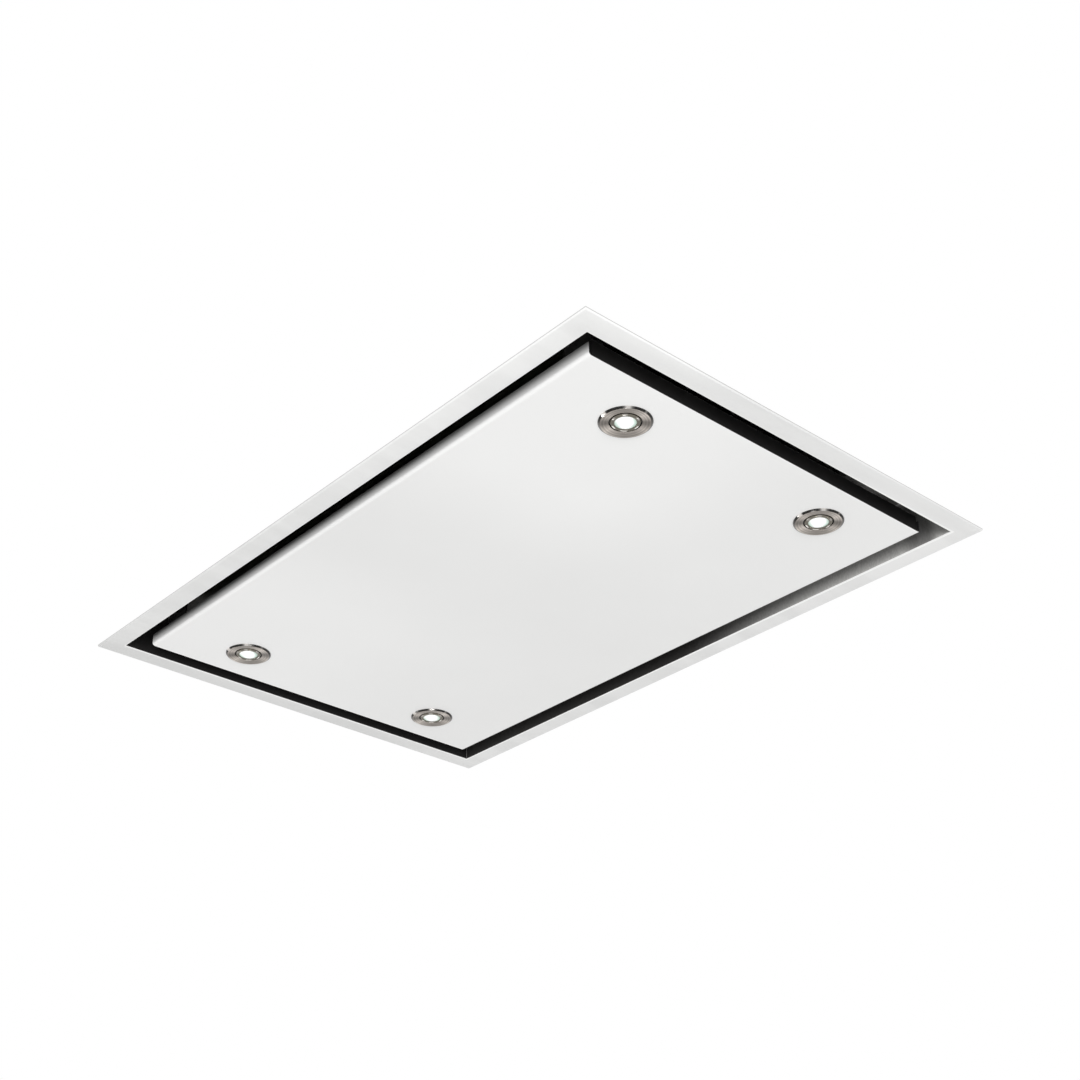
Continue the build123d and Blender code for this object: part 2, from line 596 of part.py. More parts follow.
# ---- blower ----------------------------------------------------------------------------
def scroll_outline(grow):
    """The scroll's outline round its axis: a growing spiral that runs out straight."""
    sweep_angle = 270.0 + SCROLL_CUTOFF_ANGLE
    points = []
    for i in range(SCROLL_POINTS):
        share = i / (SCROLL_POINTS - 1)
        angle = math.radians(SCROLL_CUTOFF_ANGLE - share * sweep_angle)
        radius = SCROLL_START_RADIUS + share * (SCROLL_END_RADIUS - SCROLL_START_RADIUS) + grow
        points.append((radius * math.cos(angle), radius * math.sin(angle)))
    spiral = Spline(*points)
    end = points[-1]
    top = Line(end, (OUTLET_FLAT_LENGTH, end[1]))
    mouth = Line(top @ 1, (OUTLET_FLAT_LENGTH, OUTLET_LOW - grow))
    low = Line(mouth @ 1, points[0])
    return Pos(BLOWER_X, BLOWER_Y) * make_face(Curve() + [spiral, top, mouth, low])


def make_scroll():
    """The blower's scroll: the spiral wall and the top plate that the motor hangs from."""
    outer = extrude(Pos(0, 0, SCROLL_BOTTOM) * scroll_outline(SCROLL_SHEET), SCROLL_HEIGHT)
    inner = extrude(Pos(0, 0, SCROLL_BOTTOM - CUT) * scroll_outline(0.0),
                    SCROLL_HEIGHT + CUT - SCROLL_SHEET)
    mouth = block(OUTLET_X - SCROLL_SHEET, OUTLET_X + CUT, BLOWER_Y + OUTLET_LOW,
                  BLOWER_Y + SCROLL_END_RADIUS, SCROLL_BOTTOM - CUT, SCROLL_TOP - SCROLL_SHEET)
    return outer - inner - mouth


def make_inlet_plate():
    """The plate under the scroll, whose inlet is rolled up into a bell mouth."""
    plate = extrude(Pos(0, 0, SCROLL_BOTTOM - SCROLL_SHEET) * scroll_outline(SCROLL_SHEET),
                    SCROLL_SHEET)
    plate -= rod(BLOWER_X, BLOWER_Y, SCROLL_BOTTOM - SCROLL_SHEET - CUT, SCROLL_BOTTOM + CUT,
                 INLET_RADIUS + BELL_RADIUS)
    big, small = BELL_RADIUS, BELL_RADIUS - BELL_SHEET
    quarter = Pos(INLET_RADIUS + big, -SCROLL_SHEET + big) * Circle(big)
    quarter -= Pos(INLET_RADIUS + big, -SCROLL_SHEET + big) * Circle(small)
    quarter = quarter & Pos(INLET_RADIUS + big / 2, -SCROLL_SHEET + big / 2) * Rectangle(big, big)
    bell = revolve(Plane.XZ * quarter, Axis.Z)
    return plate + Pos(BLOWER_X, BLOWER_Y, SCROLL_BOTTOM) * bell


def make_impeller():
    """A forward-curved drum: a hub disc, leaning blades and a ring that ties their ends."""
    inner = IMPELLER_RADIUS - IMPELLER_RING_WIDTH
    disc = rod(0, 0, IMPELLER_TOP - IMPELLER_SHEET, IMPELLER_TOP, IMPELLER_RADIUS)
    disc -= rod(0, 0, IMPELLER_TOP - IMPELLER_SHEET - CUT, IMPELLER_TOP + CUT, ROTOR_RADIUS)
    ring = rod(0, 0, IMPELLER_BOTTOM, IMPELLER_BOTTOM + IMPELLER_SHEET, IMPELLER_RADIUS)
    ring -= rod(0, 0, IMPELLER_BOTTOM - CUT, IMPELLER_BOTTOM + IMPELLER_SHEET + CUT, inner)
    middle = (inner + IMPELLER_RADIUS) / 2
    half = BLADE_THICKNESS / 2
    root, tip = inner + half, IMPELLER_RADIUS - half
    low = ThreePointArc((root, -half), (middle, -BLADE_LEAN - half), (tip, -half))
    high = ThreePointArc((tip, half), (middle, -BLADE_LEAN + half), (root, half))
    face = make_face(Curve() + [low, Line(low @ 1, high @ 0), high, Line(high @ 1, low @ 0)])
    blade = extrude(Pos(0, 0, IMPELLER_BOTTOM) * face, IMPELLER_TOP - IMPELLER_BOTTOM)
    blades = [Rot(0, 0, 360.0 * i / BLADE_COUNT) * blade for i in range(BLADE_COUNT)]
    drum = (disc + blades) + ring
    return Pos(BLOWER_X, BLOWER_Y, 0) * drum


def make_rotor():
    """The outer rotor of the motor: a can whose bearings turn on the fixed shaft."""
    can = rod(0, 0, ROTOR_BOTTOM, ROTOR_TOP, ROTOR_RADIUS)
    can = fillet(can.edges().filter_by(GeomType.CIRCLE).group_by(Axis.Z)[0], ROTOR_ROUND)
    can -= rod(0, 0, ROTOR_BOTTOM - CUT, ROTOR_TOP + CUT, SHAFT_RADIUS + RUNNING_GAP)
    can -= rod(0, 0, ROTOR_TOP - ROTOR_RECESS, ROTOR_TOP + CUT, STATOR_NECK_RADIUS + ROTOR_AIR_GAP)
    return Pos(BLOWER_X, BLOWER_Y, 0) * can


def make_stator():
    """The fixed part of the motor: a flange under the top plate, its neck and the shaft."""
    top = SCROLL_TOP - SCROLL_SHEET
    flange = rod(0, 0, top - STATOR_FLANGE_THICKNESS, top, STATOR_FLANGE_RADIUS)
    neck = rod(0, 0, ROTOR_TOP - ROTOR_RECESS + ROTOR_AIR_GAP, top, STATOR_NECK_RADIUS)
    shaft = rod(0, 0, ROTOR_BOTTOM - ROTOR_AIR_GAP, top, SHAFT_RADIUS)
    return Pos(BLOWER_X, BLOWER_Y, 0) * (flange + neck + shaft)


def make_rubber_mounts():
    """Waisted rubber buffers between the scroll and the lid."""
    height = HOUSING_TOP - SCROLL_TOP
    waist = ThreePointArc((MOUNT_RADIUS, 0), (MOUNT_WAIST, height / 2), (MOUNT_RADIUS, height))
    face = make_face(Curve() + [waist, Line(waist @ 1, (0, height)), Line((0, height), (0, 0)),
                                Line((0, 0), waist @ 0)])
    buffer = revolve(Plane.XZ * face, Axis.Z)
    mounts = []
    for i in range(MOUNT_COUNT):
        angle = math.radians(360.0 * (i + 0.5) / MOUNT_COUNT)
        x = BLOWER_X + MOUNT_CIRCLE * math.cos(angle)
        y = BLOWER_Y + MOUNT_CIRCLE * math.sin(angle)
        mounts.append(Pos(x, y, SCROLL_TOP) * buffer)
    return group(mounts)


# ---- duct ------------------------------------------------------------------------------
def duct_section(x, grow):
    """The face of the round duct at x."""
    plane = Plane(origin=(x, DUCT_Y, DUCT_Z), x_dir=(0, 1, 0), z_dir=(1, 0, 0))
    return plane * Circle(COLLAR_RADIUS + SOCKET_GAP + grow)


def mouth_section(x, grow):
    """The face of the scroll's rectangular outlet at x."""
    plane = Plane(origin=(x, DUCT_Y, DUCT_Z), x_dir=(0, 1, 0), z_dir=(1, 0, 0))
    width = SCROLL_END_RADIUS - OUTLET_LOW
    return plane * RectangleRounded(width - 2 * SCROLL_SHEET + 2 * grow,
                                    SCROLL_HEIGHT - 2 * SCROLL_SHEET + 2 * grow,
                                    OUTLET_CORNER + grow)


def make_transition():
    """The adapter from the scroll's outlet to the collar, with a round socket at its end."""
    start, end = OUTLET_X, COLLAR_START
    shell = loft([mouth_section(start, TRANSITION_WALL), duct_section(end, TRANSITION_WALL)])
    shell += extrude(duct_section(end, TRANSITION_WALL), TRANSITION_SOCKET)
    cavity = loft([mouth_section(start, 0.0), duct_section(end, 0.0)])
    cavity += extrude(duct_section(end, 0.0), TRANSITION_SOCKET)
    return shell - cavity


def make_collar():
    """The outlet collar: a round spigot with a flange on the outlet wall."""
    tube = rod_x(COLLAR_START, COLLAR_END, DUCT_Y, DUCT_Z, COLLAR_RADIUS)
    tube += rod_x(OUTER_X, OUTER_X + COLLAR_FLANGE, DUCT_Y, DUCT_Z, COLLAR_FLANGE_RADIUS)
    tube -= rod_x(COLLAR_START - CUT, COLLAR_END + CUT, DUCT_Y, DUCT_Z, COLLAR_RADIUS - COLLAR_WALL)
    hole = rod(FLAP_X, DUCT_Y, DUCT_Z - COLLAR_RADIUS - CUT, DUCT_Z + COLLAR_RADIUS + CUT,
               FLAP_PIN_RADIUS + RUNNING_GAP)
    return tube - hole


def make_damper_pin():
    """The upright pin that both damper flaps turn on."""
    half = COLLAR_RADIUS - PIN_END_GAP
    return rod(FLAP_X, DUCT_Y, DUCT_Z - half, DUCT_Z + half, FLAP_PIN_RADIUS)


def make_flap(side):
    """Half of the butterfly damper, with two eyes on the pin; side is +1 or -1 in Y."""
    radius = COLLAR_RADIUS - COLLAR_WALL - FLAP_GAP
    disc = rod_x(-FLAP_SHEET / 2, FLAP_SHEET / 2, 0, 0, radius)
    keep = block(-FLAP_SHEET, FLAP_SHEET, FLAP_EYE_RADIUS + FLAP_EYE_GAP, radius + CUT,
                 -radius - CUT, radius + CUT)
    flap = disc & keep
    outer = radius / 2
    for low in (outer, -FLAP_EYE_LENGTH):
        high = low + FLAP_EYE_LENGTH
        flap += block(-FLAP_SHEET / 2, FLAP_SHEET / 2, FLAP_PIN_RADIUS,
                      FLAP_EYE_RADIUS + FLAP_EYE_GAP, low, high)
        flap += rod(0, 0, low, high, FLAP_EYE_RADIUS)
    flap -= rod(0, 0, -radius, radius, FLAP_PIN_RADIUS + RUNNING_GAP)
    if side < 0:
        flap = Pos(0, 0, FLAP_EYE_GAP / 2) * Rot(180, 0, 0) * flap
    else:
        flap = Pos(0, 0, -FLAP_EYE_GAP / 2) * flap
    return Pos(FLAP_X, DUCT_Y, DUCT_Z) * flap


# ---- electrical ------------------------------------------------------------------------
def open_box(x, y, z, length, width, height):
    """A moulded box, open at its top, with rounded upright edges."""
    box = Pos(x, y, z) * Box(length, width, height, align=LOW)
    box = fillet(box.edges().filter_by(Axis.Z), BOX_WALL)
    inside = Pos(x, y, z + BOX_WALL) * Box(length - 2 * BOX_WALL, width - 2 * BOX_WALL, height,
                                           align=LOW)
    return box - inside


def box_cover(x, y, z, length, width):
    """The lid of a moulded box, with a lip that drops inside its walls."""
    lid = Pos(x, y, z) * Box(length, width, BOX_WALL, align=LOW)
    lid = fillet(lid.edges().filter_by(Axis.Z), BOX_WALL)
    lip = 2 * BOX_WALL + 2 * RUNNING_GAP
    lid += Pos(x, y, z - BOX_WALL) * Box(length - lip, width - lip, BOX_WALL, align=LOW)
    return lid


def make_control_box():
    """The control box on the shelf behind the filters."""
    return open_box(CONTROL_BOX_X, SHELF_Y, DECK_TOP, CONTROL_BOX_LENGTH, CONTROL_BOX_WIDTH,
                    CONTROL_BOX_HEIGHT)


def make_control_box_cover():
    """The control box's lid."""
    return box_cover(CONTROL_BOX_X, SHELF_Y, DECK_TOP + CONTROL_BOX_HEIGHT, CONTROL_BOX_LENGTH,
                     CONTROL_BOX_WIDTH)


def make_led_driver():
    """The lamps' driver: a closed case with a grooved top."""
    case = Pos(DRIVER_X, SHELF_Y, DECK_TOP) * Box(DRIVER_LENGTH, DRIVER_WIDTH, DRIVER_HEIGHT,
                                                  align=LOW)
    case = fillet(case.edges().filter_by(Axis.Z), BOX_WALL)
    pitch = DRIVER_LENGTH / (DRIVER_GROOVE_COUNT + 1)
    groove = Box(DRIVER_GROOVE_WIDTH, DRIVER_WIDTH - 2 * DRIVER_GROOVE_MARGIN, BOX_WALL + CUT,
                 align=LOW)
    for i in range(DRIVER_GROOVE_COUNT):
        x = DRIVER_X - DRIVER_LENGTH / 2 + (i + 1) * pitch
        case -= Pos(x, SHELF_Y, DECK_TOP + DRIVER_HEIGHT - BOX_WALL) * groove
    return case


def make_capacitor():
    """The motor's run capacitor, standing on the deck."""
    top = DECK_TOP + CAPACITOR_LENGTH
    can = rod(CAPACITOR_X, SHELF_Y, DECK_TOP, top, CAPACITOR_RADIUS)
    can = fillet(can.edges().filter_by(GeomType.CIRCLE).group_by(Axis.Z)[-1], BOX_WALL)
    tab = Box(TAB_THICKNESS, TAB_WIDTH, TAB_HEIGHT, align=LOW)
    for side in (-1, 1):
        can += Pos(CAPACITOR_X + side * TAB_SPREAD / 2, SHELF_Y, top) * tab
    return can


def make_gland():
    """The cable gland in the lid: a hexagonal nut and a domed cap round the cable's bore."""
    nut = Pos(GLAND_X, SHELF_Y, LID_TOP) * extrude(RegularPolygon(GLAND_NUT_RADIUS, 6),
                                                   GLAND_NUT_HEIGHT)
    top = LID_TOP + GLAND_HEIGHT
    cap = rod(GLAND_X, SHELF_Y, LID_TOP, top, GLAND_CAP_RADIUS)
    cap = fillet(cap.edges().filter_by(GeomType.CIRCLE).group_by(Axis.Z)[-1], GLAND_CAP_ROUND)
    low = LID_TOP - GLAND_SHANK_LENGTH
    shank = rod(GLAND_X, SHELF_Y, low, LID_TOP, GLAND_SHANK_RADIUS)
    return nut + cap + shank - rod(GLAND_X, SHELF_Y, low - CUT, top + CUT, GLAND_BORE)


# ---- panel -----------------------------------------------------------------------------
def make_panel_face():
    """The white panel: a sheet whose long sides turn up, with the holes of the spots."""
    rim = FACE_Z + PANEL_RIM_HEIGHT
    line = [(-PANEL_Y, rim), (-PANEL_Y, FACE_Z), (PANEL_Y, FACE_Z), (PANEL_Y, rim)]
    panel = along_x(folded(line, PANEL_SHEET, PANEL_BEND), -PANEL_X, PANEL_X)
    for x, y in SPOTS:
        panel -= rod(x, y, FACE_Z - CUT, PANEL_TOP + CUT, BEZEL_TUBE_RADIUS + PANEL_HOLE_GAP)
    return panel


def make_back_cover():
    """The dark cover on the panel's back, which also closes its short ends."""
    half_y = PANEL_Y - max(PANEL_BEND, PANEL_SHEET) - BACK_COVER_SIDE_GAP
    cover = block(-PANEL_X, PANEL_X, -half_y, half_y, PANEL_TOP, BACK_COVER_TOP)
    rims = cover.edges().group_by(Axis.Z)[-1]
    cover = fillet(rims, BACK_COVER_BEND)
    in_x, in_y = PANEL_X - BACK_COVER_SHEET, half_y - BACK_COVER_SHEET
    cover -= block(-in_x, in_x, -in_y, in_y, PANEL_TOP - CUT, BACK_COVER_TOP - BACK_COVER_SHEET)
    return cover


def make_hinge_brackets():
    """Arms that hang from the deck to the hinge pins, one near each end of the panel."""
    brackets = []
    for side in (-1, 1):
        x0, x1 = HINGE_X - HINGE_ARM_SHEET / 2, HINGE_X + HINGE_ARM_SHEET / 2
        arm = block(x0, x1, HINGE_Y - HINGE_EYE_RADIUS, HINGE_Y + HINGE_EYE_RADIUS, HINGE_Z, DECK_Z)
        arm += rod_x(x0, x1, HINGE_Y, HINGE_Z, HINGE_EYE_RADIUS)
        arm -= rod_x(x0 - CUT, x1 + CUT, HINGE_Y, HINGE_Z, HINGE_PIN_RADIUS + RUNNING_GAP)
        foot_y = HINGE_FOOT / 2
        arm += block(x0, x1 + HINGE_FOOT, HINGE_Y - foot_y, HINGE_Y + foot_y,
                     DECK_Z - HINGE_ARM_SHEET, DECK_Z)
        arm -= rod(HINGE_SCREW_X, HINGE_Y, DECK_Z - HINGE_ARM_SHEET - CUT, DECK_Z + CUT, SCREW_HOLE)
        brackets.append(arm if side > 0 else mirror(arm, about=Plane.YZ))
    return group(brackets)


def make_hinge_lugs():
    """A pair of lugs on the back cover each side of both hinge arms."""
    lugs = []
    for x in (-HINGE_X, HINGE_X):
        for side in (-1, 1):
            x0, x1 = sorted((x + side * LUG_INNER, x + side * (LUG_INNER + LUG_SHEET)))
            lug = block(x0, x1, HINGE_Y - HINGE_EYE_RADIUS, HINGE_Y + HINGE_EYE_RADIUS,
                        BACK_COVER_TOP, HINGE_Z)
            lug += rod_x(x0, x1, HINGE_Y, HINGE_Z, HINGE_EYE_RADIUS)
            lug -= rod_x(x0 - CUT, x1 + CUT, HINGE_Y, HINGE_Z, HINGE_PIN_RADIUS + PIN_PRESS_GAP)
            lugs.append(lug)
    return group(lugs)


def make_hinge_pins():
    """The hinge pins, headed at their outer ends."""
    pins = []
    reach = LUG_INNER + LUG_SHEET
    for side in (-1, 1):
        x = side * HINGE_X
        pin = rod_x(x - reach - PIN_TAIL, x + reach + PIN_TAIL, HINGE_Y, HINGE_Z, HINGE_PIN_RADIUS)
        head = x + side * reach
        x0, x1 = sorted((head, head + side * PIN_HEAD))
        pins.append(pin + rod_x(x0, x1, HINGE_Y, HINGE_Z, HINGE_PIN_RADIUS + PIN_HEAD_STEP))
    return group(pins)


def make_catch_brackets():
    """Angles that hang from the deck and carry the magnets."""
    angles = []
    half = MAGNET_LENGTH / 2
    for x in (-CATCH_X, CATCH_X):
        line = [(CATCH_Y, MAGNET_BOTTOM + CATCH_OVER_STRIKE), (CATCH_Y, DECK_Z),
                (CATCH_Y + CATCH_SHEET + CATCH_FLANGE, DECK_Z)]
        angle = along_x(folded(line[::-1], CATCH_SHEET), x - half, x + half)
        angle -= rod(x, CATCH_SCREW_Y, DECK_Z - CATCH_SHEET - CUT, DECK_Z + CUT, SCREW_HOLE)
        angles.append(angle)
    return group(angles)


def make_magnets():
    """The magnetic catches, behind the angles."""
    catches = []
    half = MAGNET_LENGTH / 2
    for x in (-CATCH_X, CATCH_X):
        catch = block(x - half, x + half, MAGNET_Y, MAGNET_Y + MAGNET_WIDTH, MAGNET_BOTTOM,
                      MAGNET_BOTTOM + MAGNET_HEIGHT)
        catches.append(chamfer(catch.edges().group_by(Axis.Z)[-1], MAGNET_CHAMFER))
    return group(catches)


def make_strikes():
    """The steel plates on the back cover that the magnets hold."""
    plates = []
    half = MAGNET_LENGTH / 2
    for x in (-CATCH_X, CATCH_X):
        plate = block(x - half, x + half, MAGNET_Y, MAGNET_Y + MAGNET_WIDTH, BACK_COVER_TOP,
                      BACK_COVER_TOP + STRIKE_THICKNESS)
        plates.append(fillet(plate.edges().filter_by(Axis.Z), STRIKE_CORNER))
    return group(plates)


# ---- spots -----------------------------------------------------------------------------
def make_bezels():
    """The fixed rings of the spots: a flange on the panel and a tube behind it."""
    points = [(BEZEL_MOUTH_RADIUS, BEZEL_BOTTOM), (BEZEL_RADIUS - BEZEL_EDGE, BEZEL_BOTTOM),
              (BEZEL_RADIUS, BEZEL_BOTTOM + BEZEL_EDGE), (BEZEL_RADIUS, FACE_Z),
              (BEZEL_TUBE_RADIUS, FACE_Z), (BEZEL_TUBE_RADIUS, BEZEL_TUBE_TOP),
              (BEZEL_BORE_RADIUS, BEZEL_TUBE_TOP),
              (BEZEL_BORE_RADIUS, BEZEL_BOTTOM + 2 * BEZEL_LIP),
              (BEZEL_MOUTH_RADIUS, BEZEL_BOTTOM + BEZEL_LIP)]
    ring = revolve(Plane.XZ * make_face(Polyline(*points, close=True)), Axis.Z)
    ring -= rod_x(-BEZEL_RADIUS, BEZEL_RADIUS, 0, BALL_CENTRE, TRUNNION_RADIUS + RUNNING_GAP)
    return group([Pos(x, y, 0) * ring for x, y in SPOTS])


def make_swivel(at):
    """The tilting ring of a spot: a zone of a ball on two trunnions, open for the lamp."""
    ball = Pos(0, 0, BALL_CENTRE) * Sphere(BALL_RADIUS)
    ball = ball & rod(0, 0, BALL_BOTTOM, BALL_TOP, BALL_RADIUS)
    trunnion = (BEZEL_TUBE_RADIUS + BEZEL_BORE_RADIUS) / 2
    ball += rod_x(-trunnion, trunnion, 0, BALL_CENTRE, TRUNNION_RADIUS)
    ball -= rod(0, 0, BALL_BOTTOM - CUT, BALL_TOP + CUT, LAMP_RADIUS + LENS_SEAT_GAP)
    ball -= rod(0, 0, BALL_BOTTOM - CUT, LENS_TOP, LENS_RADIUS + LENS_SEAT_GAP)
    return Pos(*at, 0) * ball


def make_lens(at):
    """The clear disc of a spot and the lamp module behind it."""
    disc = rod(*at, LENS_BOTTOM, LENS_TOP, LENS_RADIUS)
    return disc + rod(*at, LENS_BOTTOM, LAMP_TOP, LAMP_RADIUS)


def make_spot_cans():
    """The cans that screw on to the bezels' tubes behind the panel, with cooling ribs."""
    outer = BEZEL_TUBE_RADIUS + RUNNING_GAP + CAN_WALL
    can = rod(0, 0, PANEL_TOP, CAN_TOP, outer)
    fin = block(0, outer + CAN_FIN_REACH, -CAN_WALL / 2, CAN_WALL / 2, PANEL_TOP, CAN_TOP)
    for i in range(CAN_FIN_COUNT):
        can += Rot(0, 0, 360.0 * i / CAN_FIN_COUNT) * fin
    can -= rod(0, 0, PANEL_TOP - CUT, CAN_TOP - CAN_WALL, BEZEL_TUBE_RADIUS + RUNNING_GAP)
    return group([Pos(x, y, 0) * can for x, y in SPOTS])


# ---- all pieces ------------------------------------------------------------------------
pieces["trim_frame"] = make_trim_frame()
pieces["ceiling_seal"] = make_ceiling_seal()
pieces["slot_liner"] = make_slot_liner()
pieces["front_wall"] = make_long_wall(-1)
pieces["rear_wall"] = make_long_wall(1)
pieces["left_wall"] = make_short_wall()
pieces["outlet_wall"] = make_outlet_wall()
pieces["top_cover"] = make_top_cover()
pieces["cover_screws"] = make_cover_screws()
pieces["suspension_brackets"] = make_hangers()
pieces["suspension_screws"] = make_hanger_screws()
pieces["filter_deck"] = make_filter_deck()
pieces["deck_screws"] = make_deck_screws()
pieces["filter_front_rail"] = make_front_rail()
pieces["filter_rear_rail"] = make_rear_rail()
for filter_name, filter_x in zip(FILTER_NAMES, FILTER_X):
    pieces["filter_frame_" + filter_name] = make_filter_frame(filter_x)
    pieces["filter_mesh_" + filter_name] = make_filter_mesh(filter_x)
    pieces["filter_latch_" + filter_name] = make_latch(filter_x)
pieces["latch_keepers"] = make_keepers()
pieces["blower_scroll"] = make_scroll()
pieces["blower_inlet_plate"] = make_inlet_plate()
pieces["impeller"] = make_impeller()
pieces["motor_rotor"] = make_rotor()
pieces["motor_stator"] = make_stator()
pieces["rubber_mounts"] = make_rubber_mounts()
pieces["outlet_transition"] = make_transition()
pieces["outlet_collar"] = make_collar()
pieces["damper_pin"] = make_damper_pin()
pieces["damper_flap_rear"] = make_flap(1)
pieces["damper_flap_front"] = make_flap(-1)
pieces["control_box"] = make_control_box()
pieces["control_box_cover"] = make_control_box_cover()
pieces["led_driver"] = make_led_driver()
pieces["motor_capacitor"] = make_capacitor()
pieces["cable_gland"] = make_gland()
pieces["panel_face"] = make_panel_face()
pieces["panel_back_cover"] = make_back_cover()
pieces["hinge_brackets"] = make_hinge_brackets()
pieces["hinge_lugs"] = make_hinge_lugs()
pieces["hinge_pins"] = make_hinge_pins()
pieces["catch_brackets"] = make_catch_brackets()
pieces["catch_magnets"] = make_magnets()
pieces["strike_plates"] = make_strikes()
pieces["spot_bezels"] = make_bezels()
pieces["spot_cans"] = make_spot_cans()
for spot_name, spot_at in zip(SPOT_NAMES, SPOTS):
    pieces["spot_swivel_" + spot_name] = make_swivel(spot_at)
    pieces["spot_lens_" + spot_name] = make_lens(spot_at)

os.makedirs("parts", exist_ok=True)
for name, piece in pieces.items():
    export_step(piece, os.path.join("parts", name + ".step"))
print(len(pieces), "pieces")
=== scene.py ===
"""Ceiling range hood with a hanging panel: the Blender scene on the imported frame.

Metres, in the CAD frame: X runs along the hood to its duct outlet, Y across it to the panel's
hinge, and Z up, with the underside of the ceiling at zero.
"""
import json
import logging
import math
from dataclasses import dataclass, field
from enum import Enum
from typing import Callable, Dict, Iterable, List, Optional, Sequence, Tuple, Union

import bmesh
import bpy
from mathutils import Matrix, Vector


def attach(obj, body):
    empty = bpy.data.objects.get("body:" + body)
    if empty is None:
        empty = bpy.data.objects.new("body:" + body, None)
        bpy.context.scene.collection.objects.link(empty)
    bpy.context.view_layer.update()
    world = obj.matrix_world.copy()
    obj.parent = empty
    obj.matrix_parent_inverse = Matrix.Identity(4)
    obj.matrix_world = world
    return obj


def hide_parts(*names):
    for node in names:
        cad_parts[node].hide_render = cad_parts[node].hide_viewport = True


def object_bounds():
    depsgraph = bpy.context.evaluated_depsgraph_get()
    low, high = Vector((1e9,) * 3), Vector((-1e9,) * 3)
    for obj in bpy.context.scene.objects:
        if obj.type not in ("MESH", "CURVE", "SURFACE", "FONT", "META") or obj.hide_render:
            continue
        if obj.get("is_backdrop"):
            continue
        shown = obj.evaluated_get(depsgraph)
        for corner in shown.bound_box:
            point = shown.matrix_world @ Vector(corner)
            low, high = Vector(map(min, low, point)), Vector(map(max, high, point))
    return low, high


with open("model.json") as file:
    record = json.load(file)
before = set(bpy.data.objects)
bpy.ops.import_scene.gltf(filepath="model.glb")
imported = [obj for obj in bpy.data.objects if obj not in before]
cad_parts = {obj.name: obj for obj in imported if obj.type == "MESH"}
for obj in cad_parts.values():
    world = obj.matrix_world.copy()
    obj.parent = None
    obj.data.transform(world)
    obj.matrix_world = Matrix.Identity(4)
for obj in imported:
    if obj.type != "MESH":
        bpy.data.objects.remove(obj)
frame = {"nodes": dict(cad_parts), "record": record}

LOG = logging.getLogger("hood")
MM = 0.001

Point2 = Tuple[float, float]
Point3 = Tuple[float, float, float]
Colour = Tuple[float, float, float]
Stops = Sequence[Tuple[float, Colour]]
Number = Union[int, float]


# ---- shader arithmetic -------------------------------------------------------------------
def maths(operation: str, reflected: bool = False) -> Callable[..., "Wire"]:
    """A method of Wire that adds one Math node.

    Args:
        operation: The node's operation.
        reflected: Whether the wire is the second term.

    Returns:
        The method.
    """
    def method(wire: "Wire", other: "Term" = 0.0) -> "Wire":
        """Adds the node, with the other term if the operation takes one."""
        terms = (other, wire) if reflected else (wire, other)
        return wire.graph.node("ShaderNodeMath", {"operation": operation},
                               dict(enumerate(terms)))

    return method


class Wire:
    """An output socket of a graph, which takes part in Python's arithmetic."""

    def __init__(self, graph: "Graph", socket: bpy.types.NodeSocket) -> None:
        """Keeps the socket, and the graph that its arithmetic adds nodes to."""
        self.graph = graph
        self.socket = socket

    __add__ = __radd__ = maths("ADD")
    __sub__, __rsub__ = maths("SUBTRACT"), maths("SUBTRACT", True)
    __mul__ = __rmul__ = maths("MULTIPLY")
    __truediv__, __rtruediv__ = maths("DIVIDE"), maths("DIVIDE", True)
    __pow__, __rpow__ = maths("POWER"), maths("POWER", True)
    at_least, at_most = maths("MAXIMUM"), maths("MINIMUM")
    size = maths("ABSOLUTE")  # without its sign
    cosine = maths("COSINE")
    remainder = maths("FRACT")  # over the whole number below it
    angle_with = maths("ARCTAN2")  # of the point (other, wire) round the origin

    def between(self, low: float, high: float) -> "Wire":
        """How far this value has come from low to high, smoothly, from 0 to 1."""
        return self.graph.node("ShaderNodeMapRange", {"interpolation_type": "SMOOTHSTEP"},
                               {0: self, 1: low, 2: high})

    def spread(self, low: float, high: float) -> "Wire":
        """This value, with low in place of 0 and high in place of 1."""
        return self * (high - low) + low


Term = Union[Wire, Number]
Input = Union[Wire, Number, Sequence[float]]


class Graph:
    """A tree of shader nodes, built by calls."""

    def __init__(self, tree: bpy.types.NodeTree) -> None:
        """Takes the node tree of a material or a world, and empties it."""
        self.tree = tree
        self.tree.nodes.clear()

    def node(self, kind: str, settings: Optional[Dict[str, object]] = None,
             inputs: Optional[Dict[Union[int, str], Input]] = None,
             output: Union[int, str] = 0) -> Wire:
        """Adds a node, with its settings before its sockets.

        Args:
            kind: The node's type.
            settings: Its own settings, or a ramp's stops.
            inputs: Values or wires for its input sockets.
            output: The output to return.

        Returns:
            The chosen output.
        """
        made = self.tree.nodes.new(kind)
        for key, value in (settings or {}).items():
            if key == "stops":
                self._set_stops(made, value)
            else:
                setattr(made, key, value)
        for key, value in (inputs or {}).items():
            if isinstance(value, Wire):
                self.tree.links.new(value.socket, made.inputs[key])
            else:
                made.inputs[key].default_value = value
        return Wire(self, made.outputs[output])

    @staticmethod
    def _set_stops(ramp: bpy.types.Node, stops: Stops) -> None:
        """Gives a colour ramp its stops.

        Args:
            ramp: The ramp node.
            stops: The place and colour of each stop, in order.
        """
        elements = ramp.color_ramp.elements
        while len(elements) < len(stops):
            elements.new(1.0)
        for element, (place, colour) in zip(elements, stops):
            element.position = place
            element.color = (*colour, 1.0)

    def end(self, kind: str, surface: Wire) -> None:
        """Leads a surface to a new output node of the given type."""
        output = self.tree.nodes.new(kind)
        self.tree.links.new(surface.socket, output.inputs["Surface"])


